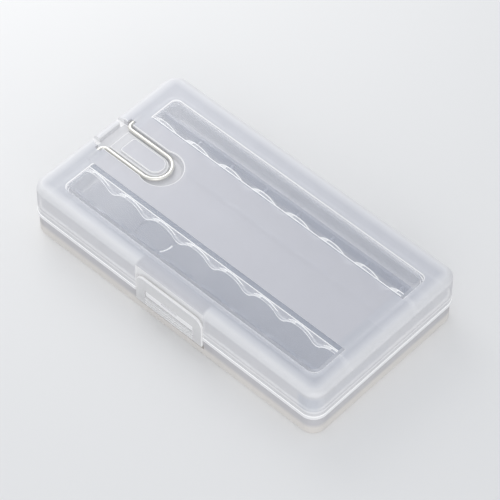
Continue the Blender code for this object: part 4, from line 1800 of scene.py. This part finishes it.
        # LIP paints light onto the recess, which would lie in shade, and onto the ledge, which shows as a
        # bright strip.
        lid.cut(block(
            "recess", (-half, half), (-case.width / 2 - case.overcut, face),
            (case.seam - case.overcut, case.height - clip.recess_below_top), finish=Finish.LIP,
        ))
        ledge_half = clip.window_width / 2 - case.fit
        top = clip.window_bottom + clip.window_height - case.fit
        front = self.clip_inner - clip.ledge_hold
        ledge = block(
            "ledge", (-ledge_half, ledge_half), (front, face + case.root),
            (clip.window_bottom + case.fit, top), case.rim_edge, Finish.LIP,
        )
        bump = block(
            "bump", around(0.0, clip.bump_width / 2), (front - clip.bump_proud, front + case.root),
            (top - clip.bump_height - case.fit, top - case.fit), finish=Finish.INNER,
        )
        lid.join(ledge.join(bump))

    def knuckles(self) -> list[Solid]:
        """The hinge knuckles with their trunnions.

        Returns:
            The solids.
        """
        case, hinge = self.case, self.hinge
        y, z = self.hinge_axis
        rear = case.lid_width / 2 - case.root
        outline = arc((y, z), hinge.radius, *hinge.knuckle_angles, hinge.knuckle_steps)
        outline += [(rear, z + hinge.radius + hinge.lug_foot), (rear, z + case.fit)]
        half = hinge.knuckle_length / 2
        made = []
        for station in hinge.stations:
            knuckle = plate("knuckle", outline, around(station, half), Facing.SIDE, hinge.edge_round)
            pins = spindle("pins", half + hinge.pin_length, (y, z), hinge.pin_radius, station)
            made.append(knuckle.join(pins))
        return made

    def build(self, dress: Dress) -> bpy.types.Object:
        """Makes the lid and puts it in the frame.

        Args:
            dress: Material of each finish.

        Returns:
            The piece.
        """
        lid = self.shell()
        lid.join(self.window_frame())
        lid.join(self.rail(-1), self.rail(1))
        self.latch_recess(lid)
        lid.cut(*self.rail_strips(-1), *self.rail_strips(1))
        lid.join(*self.hook_seat())
        lid.cut(self.groove())
        lid.cut(*self.wire_cutters())
        lid.cut(self.window_cutter(-1), self.window_cutter(1))
        # The LIP panes reach a line further than the clear panes cut after them, and leave a painted
        # highlight line along each window's end at the hook and along the hinge-side window's far edge.
        for finish, line, depth in ((Finish.LIP, self.case.pane_line, 1), (Finish.CLEAR, 0.0, 2)):
            lid.cut(*(self.pane(side, finish, line, depth * self.case.hair) for side in (-1, 1)))
        lid.join(*self.knuckles())
        return self.finish(lid, "lid_shell", "lid", Body.COVER, Slot.PLASTIC, dress)


class LatchClip(Maker):
    """The front clip."""

    def build(self, dress: Dress) -> bpy.types.Object:
        """Makes the clip and puts it in the frame.

        Args:
            dress: Material of each finish.

        Returns:
            The piece.
        """
        case, clip = self.case, self.clip
        half, window_half = clip.width / 2, clip.window_width / 2
        outer, inner = self.clip_outer, self.clip_inner
        radii = (clip.corner, clip.corner, clip.foot_corner, clip.foot_corner)
        face = RoundedBox((-half, half), (clip.bottom, clip.top), radii)
        # LIP paints a highlight on the clip's rounded rims.
        solid = plate(
            "clip", face.outline(0.0), (outer, inner), Facing.FRONT, clip.edge_round,
            rim=Finish.LIP, segments=3,
        )
        cutters = [
            block(
                "window", (-window_half, window_half), (outer - case.overcut, inner + case.overcut),
                (clip.window_bottom, clip.window_bottom + clip.window_height),
            ),
            block(
                "relief", around(0.0, half + case.overcut), (inner - clip.relief, inner + case.overcut),
                (clip.relief_bottom, clip.top + case.overcut),
            ),
        ]
        for index in range(clip.grip_count):
            level = clip.bottom + clip.grip_from_foot + clip.grip_pitch * index
            # LIP paints light into the grip grooves, which would lie in shade.
            cutters.append(block(
                "groove", (-window_half, window_half), (outer - case.overcut, outer + clip.grip_groove),
                around(level, clip.grip_groove / 2), finish=Finish.LIP,
            ))
        solid.cut(*cutters)
        barrel = spindle("barrel", half, self.clip_axis, clip.barrel_radius)
        reach = self.recess_half + clip.pin_length - case.fit
        solid.join(barrel.join(spindle("pins", reach, self.clip_axis, clip.pin_radius)))
        return self.finish(solid, "clip_plate", "latch_clip", Body.LATCH, Slot.PLASTIC, dress)


class HangingHook(Maker):
    """The bent wire hook."""

    END_TURNS = (0, 30, 60, 90)
    RING_SIDES = 20

    def route(self) -> Outline:
        """The wire's centre line from one end to the other, in X and Y.

        Returns:
            The points.
        """
        hook = self.hook
        x = self.hook_axis[0]
        leg = hook.width / 2
        bend_centre = x + hook.reach - leg
        side = [(x, -leg - hook.end_length)]
        side += arc((x + hook.bend, -leg - hook.bend), hook.bend, 180, 90, hook.bend_steps)
        side += arc((bend_centre, 0.0), leg, -90, 0, hook.loop_steps)
        return side + [(along, -across) for along, across in reversed(side[:-1])]

    def rings(self) -> list[list[Vector]]:
        """Rings of points along the wire, with its two ends rounded.

        Returns:
            The points of each ring.
        """
        hook = self.hook
        path = [Vector((x, y, self.hook_axis[1])) for x, y in self.route()]
        ways = [path[1] - path[0]]
        ways += [after - before for before, after in zip(path[:-2], path[2:])]
        ways.append(path[-1] - path[-2])
        ways = [way.normalized() for way in ways]
        radius, end = hook.wire / 2, hook.end_round
        stations = [(centre, way, radius) for centre, way in zip(path[1:-1], ways[1:-1])]
        first, last = [], []
        for angle in self.END_TURNS:
            turn = math.radians(angle)
            shift, size = end * (1 - math.sin(turn)), radius - end * math.cos(turn)
            first.append((path[0] + ways[0] * (end - shift), ways[0], size))
            last.insert(0, (path[-1] - ways[-1] * (end - shift), ways[-1], size))
        made = []
        for centre, way, size in first + stations + last:
            across = way.cross(Vector((0.0, 0.0, 1.0)))
            circle = Disc((0, 0), size, self.RING_SIDES).outline(0.0)
            made.append([centre + Vector((across.x * y, across.y * y, z)) for y, z in circle])
        return made

    def build(self, steel: bpy.types.Material) -> bpy.types.Object:
        """Makes the hook and puts it in the frame.

        Args:
            steel: The wire's material.

        Returns:
            The piece.
        """
        wire = skin("wire", self.rings())
        dress = {finish: steel for finish in Finish}
        return self.finish(wire, "hook_wire", "hanging_hook", Body.HOOK, Slot.STEEL, dress)


# Studio

@dataclass(frozen=True)
class View:
    """The photograph's camera, fitted to the case's corners."""

    azimuth: float = 42.857
    elevation: float = 51.453
    roll: float = 0.357
    distance: float = 971.5 * MM
    focal_pixels: float = 3002.0
    frame_pixels: float = 500.0
    target: tuple[float, float, float] = (2.069 * MM, 1.422 * MM, 10.9 * MM)
    sensor: float = 36.0
    clip_range: Span = (0.01, 20.0)

    def build(self) -> bpy.types.Object:
        """Makes the camera and sets it as the scene's.

        Returns:
            The camera.
        """
        bearing, climb = math.radians(self.azimuth), math.radians(self.elevation)
        level = math.cos(climb)
        back = Vector((math.sin(bearing) * level, -math.cos(bearing) * level, math.sin(climb)))
        right = Vector((math.cos(bearing), math.sin(bearing), 0.0))
        up = back.cross(right)
        turn = Matrix((right, up, back)).transposed().to_4x4()
        turn = turn @ Matrix.Rotation(math.radians(self.roll), 4, "Z")
        data = bpy.data.cameras.new("camera")
        data.sensor_width = self.sensor
        data.sensor_fit = "HORIZONTAL"
        data.lens = self.focal_pixels / self.frame_pixels * self.sensor
        data.clip_start, data.clip_end = self.clip_range
        data.dof.use_dof = False
        camera = add_object("camera", data)
        camera.matrix_world = Matrix.Translation(Vector(self.target) + back * self.distance) @ turn
        bpy.context.scene.camera = camera
        return camera


@dataclass(frozen=True)
class Lamp:
    """A square area light that faces the case."""

    name: str
    place: tuple[float, float, float]
    size: float
    power: float
    tone: Tone

    def build(self) -> None:
        """Adds the light."""
        data = bpy.data.lights.new(self.name, "AREA")
        data.shape = "SQUARE"
        data.size = self.size
        data.energy = self.power
        data.color = self.tone
        lamp = add_object(self.name, data)
        lamp.location = self.place
        lamp.rotation_euler = (-Vector(self.place)).to_track_quat("-Z", "Y").to_euler()


@dataclass(frozen=True)
class Studio:
    """A pale floor, a soft overhead light and a pale surround."""

    floor_size: float = 3.0
    floor_cells: int = 8
    floor_drop: float = 0.1 * MM
    floor_tone: Tone = (0.80, 0.80, 0.80)
    floor_roughness: float = 0.9
    world_tone: Tone = (0.925, 0.955, 1.0)
    world_strength: float = 0.70
    lamps: tuple[Lamp, ...] = (
        Lamp("key", place=(-0.32, 0.12, 0.27), size=0.3, power=0.85, tone=(1.0, 0.985, 0.96)),
        Lamp("fill", place=(0.6, -0.58, 0.3), size=0.6, power=2.4, tone=(1.0, 0.985, 0.965)),
    )

    def floor(self) -> None:
        """Makes the floor that the case lies on."""
        shape = bmesh.new()
        cells = self.floor_cells
        bmesh.ops.create_grid(shape, x_segments=cells, y_segments=cells, size=self.floor_size / 2)
        mesh = bpy.data.meshes.new("floor")
        shape.to_mesh(mesh)
        shape.free()
        material = bpy.data.materials.new("floor")
        material.use_nodes = True
        inputs = material.node_tree.nodes["Principled BSDF"].inputs
        inputs["Base Color"].default_value = (*self.floor_tone, 1.0)
        inputs["Roughness"].default_value = self.floor_roughness
        mesh.materials.append(material)
        floor = add_object("floor", mesh)
        floor.location.z = -self.floor_drop

    def world(self) -> None:
        """Makes the pale surround."""
        world = bpy.data.worlds.new("surround")
        world.use_nodes = True
        inputs = world.node_tree.nodes["Background"].inputs
        inputs["Color"].default_value = (*self.world_tone, 1.0)
        inputs["Strength"].default_value = self.world_strength
        bpy.context.scene.world = world

    def build(self) -> None:
        """Makes the floor, the surround and the lights."""
        self.floor()
        self.world()
        for lamp in self.lamps:
            lamp.build()
        bpy.context.scene.view_settings.view_transform = "Standard"


def dress_plastics(groups: Groups, case: CaseSizes) -> dict[str, Dress]:
    """Makes the plastics of each piece, for every finish.

    Args:
        groups: The shared node groups.
        case: The case's sizes.

    Returns:
        Material of each finish, for each piece by the name of its frosted plastic.
    """
    # Painted highlights: near-white plastics with a painted glow, for the bright lines along edges and,
    # brightest, along the rails and the floor's ring.
    bright = {"tone": (0.92, 0.92, 0.92), "cloud": (0.96, 0.96, 0.95), "polish": 0.2, "shadow_share": 0.15}
    edge = Plastic("edge_light", **bright, veil=0.95, painted_glow=0.15)
    glint = Plastic("rail_glint", **bright, veil=0.98, painted_glow=0.4)
    clear = Plastic(
        "clear_window", (0.62, 0.65, 0.72), (0.68, 0.70, 0.76), polish=0.06, polish_spread=0.04, grain=0.0,
        bump=0.01, veil=0.18, shadow_share=0.1,
    )
    shade = Plastic(
        "rib_shade", (0.36, 0.40, 0.48), (0.41, 0.45, 0.52), polish=0.2, veil=0.5, shadow_share=0.1,
    )
    rib = Plastic(
        "rib_body", (0.82, 0.83, 0.87), (0.89, 0.90, 0.93), polish=0.25, veil=0.38, shadow_share=0.1,
    )
    # Painted light: near-white with a faint painted glow, for lips, slots, grooves, the clip's rims and the
    # latch recess.
    lip = Plastic(
        "soft_lip", (0.84, 0.84, 0.85), (0.89, 0.89, 0.89), polish=0.25, veil=0.85, shadow_share=0.15,
        painted_glow=0.04,
    )
    lid_inner = Plastic(
        "lid_inner", (0.78, 0.79, 0.81), (0.84, 0.84, 0.86), polish=0.25, veil=0.55, shadow_share=0.1,
    )
    # The base's inner walls have a faint painted glow.
    base_inner = Plastic(
        "base_inner", (0.86, 0.87, 0.90), (0.91, 0.92, 0.94), polish=0.25, veil=0.8, shadow_share=0.15,
        painted_glow=0.05,
    )
    # Painted light: the floor turns lighter towards the hook end, on both sides of the middle.
    hook_end = -36.0 * MM
    floor = Plastic(
        "base_floor", (0.575, 0.60, 0.68), (0.635, 0.66, 0.73), polish=0.25, veil=0.6, shadow_share=0.2,
        bands=tuple(
            Band(ANYWHERE, (0.78, 0.79, 0.83), fade=14.0 * MM, along=along)
            for along in ((-BEYOND, hook_end), (HINGE_SIDE[0], 1.0 + hook_end))
        ),
    )
    # Tone of the painted highlights and painted light on the lid: the shoulder, the rim's bead, the line of
    # the base's upstand and the lower wall.
    painted_light_tone = (0.84, 0.84, 0.85)
    top, seam, rim = case.height, case.seam, case.seam + case.rim_height
    plate_face, upstand = (top - 0.9 * MM, BEYOND), case.upstand_top
    window_zone = Band(
        (top - 4.0 * MM, BEYOND), (0.56, 0.585, 0.65), fade=3.0 * MM, depths=(4.0 * MM, 9.5 * MM),
        depth_fade=2.4 * MM, veil=0.28, along=(-53.4 * MM, 53.4 * MM),
    )
    # Painted shade on the shoulder above the clip's recess.
    painted_shade_over_clip = Band(
        (top - 1.9 * MM, BEYOND), (0.50, 0.505, 0.55), 0.9, depths=(-BEYOND, 5.6 * MM), depth_fade=1.5 * MM,
        veil=0.7, along=(-15.2 * MM, 15.2 * MM),
    )
    # Painted shade on the walls round the front corner at the end away from the hook.
    painted_shade_at_front_corner = Band(
        (rim + 1.0 * MM, top - 2.5 * MM), (0.51, 0.54, 0.60), 0.9, fade=1.5 * MM,
        along=(55.0 * MM, 63.2 * MM),
    )
    lid = Plastic(
        "lid_frost", (0.68, 0.68, 0.70), (0.73, 0.73, 0.75), polish=0.34, veil=0.7, shadow_share=0.2,
        bands=(
            Band(plate_face, (0.555, 0.575, 0.635), fade=0.5 * MM, depths=(1.6 * MM, BEYOND), veil=0.7),
            # Painted light: the top's border is lighter along the hinge side.
            Band(
                plate_face, (0.62, 0.63, 0.68), 0.9, fade=0.5 * MM, depths=(1.6 * MM, 10.0 * MM), veil=0.74,
                along=HINGE_SIDE,
            ),
            window_zone,
            Band(
                plate_face, (0.625, 0.62, 0.66), fade=0.5 * MM, depths=(8.5 * MM, BEYOND),
                depth_fade=2.0 * MM, veil=0.74,
            ),
            # Painted highlight along the shoulder where the top rounds into the walls.
            Band(
                (top - 2.5 * MM, BEYOND), painted_light_tone, 0.85, depths=(-BEYOND, 5.0 * MM), depth_fade=3.0 * MM,
                veil=0.9,
            ),
            painted_shade_over_clip,
            painted_shade_at_front_corner,
            # Painted highlights on the rim's bead and on the line of the base's upstand, and painted light
            # on the lower wall.
            Band((seam - 1.0 * MM, rim + 0.3 * MM), painted_light_tone, fade=0.5 * MM, veil=0.98),
            Band((upstand - 0.6 * MM, upstand + 0.8 * MM), painted_light_tone, 0.9, fade=0.4 * MM, veil=0.95),
            Band((seam, 14.5 * MM), painted_light_tone, 0.3, fade=4.0 * MM),
        ),
    )
    base = Plastic(
        "base_frost", (0.505, 0.50, 0.52), (0.555, 0.55, 0.57), polish=0.3, veil=0.8, shadow_share=0.2,
        bands=(
            # Painted light: the base's wall turns lighter and warmer towards its foot.
            Band(
                (-BEYOND, 4.9 * MM), (0.77, 0.735, 0.69), fade=1.8 * MM, depths=(-BEYOND, 3.4 * MM),
                veil=0.95,
            ),
        ),
    )
    clip = Plastic(
        "clip_frost", (0.71, 0.71, 0.72), (0.76, 0.76, 0.765), polish=0.22, veil=0.72, shadow_share=0.15,
    )
    plastics = {
        Finish.CLEAR: clear, Finish.EDGE: edge, Finish.SHADE: shade, Finish.RIB: rib, Finish.FLOOR: floor,
        Finish.LIP: lip, Finish.GLINT: glint,
    }
    shared = {finish: plastic.build(groups) for finish, plastic in plastics.items()}
    inner_of = {lid: lid_inner.build(groups), base: base_inner.build(groups)}
    inner_of[clip] = inner_of[lid]
    return {
        plastic.name: {Finish.FROST: plastic.build(groups), Finish.INNER: inner, **shared}
        for plastic, inner in inner_of.items()
    }


def main() -> None:
    """Builds every piece in order and sets up the view."""
    logging.basicConfig(level=logging.INFO, format="%(name)s: %(message)s")
    case = CaseSizes()
    sizes = (case, HookSizes(), ClipSizes(), HingeSizes())
    groups = Groups(haze_group(), depth_group(case), band_group())
    plastics = dress_plastics(groups, case)
    BaseTray(*sizes).build(plastics["base_frost"])
    Lid(*sizes).build(plastics["lid_frost"])
    LatchClip(*sizes).build(plastics["clip_frost"])
    HangingHook(*sizes).build(SteelWire("hook_steel").build(groups))
    for finish in Finish:
        bpy.data.materials.remove(placeholder(finish))
    View().build()
    Studio().build()


if __name__ == "__main__":
    main()
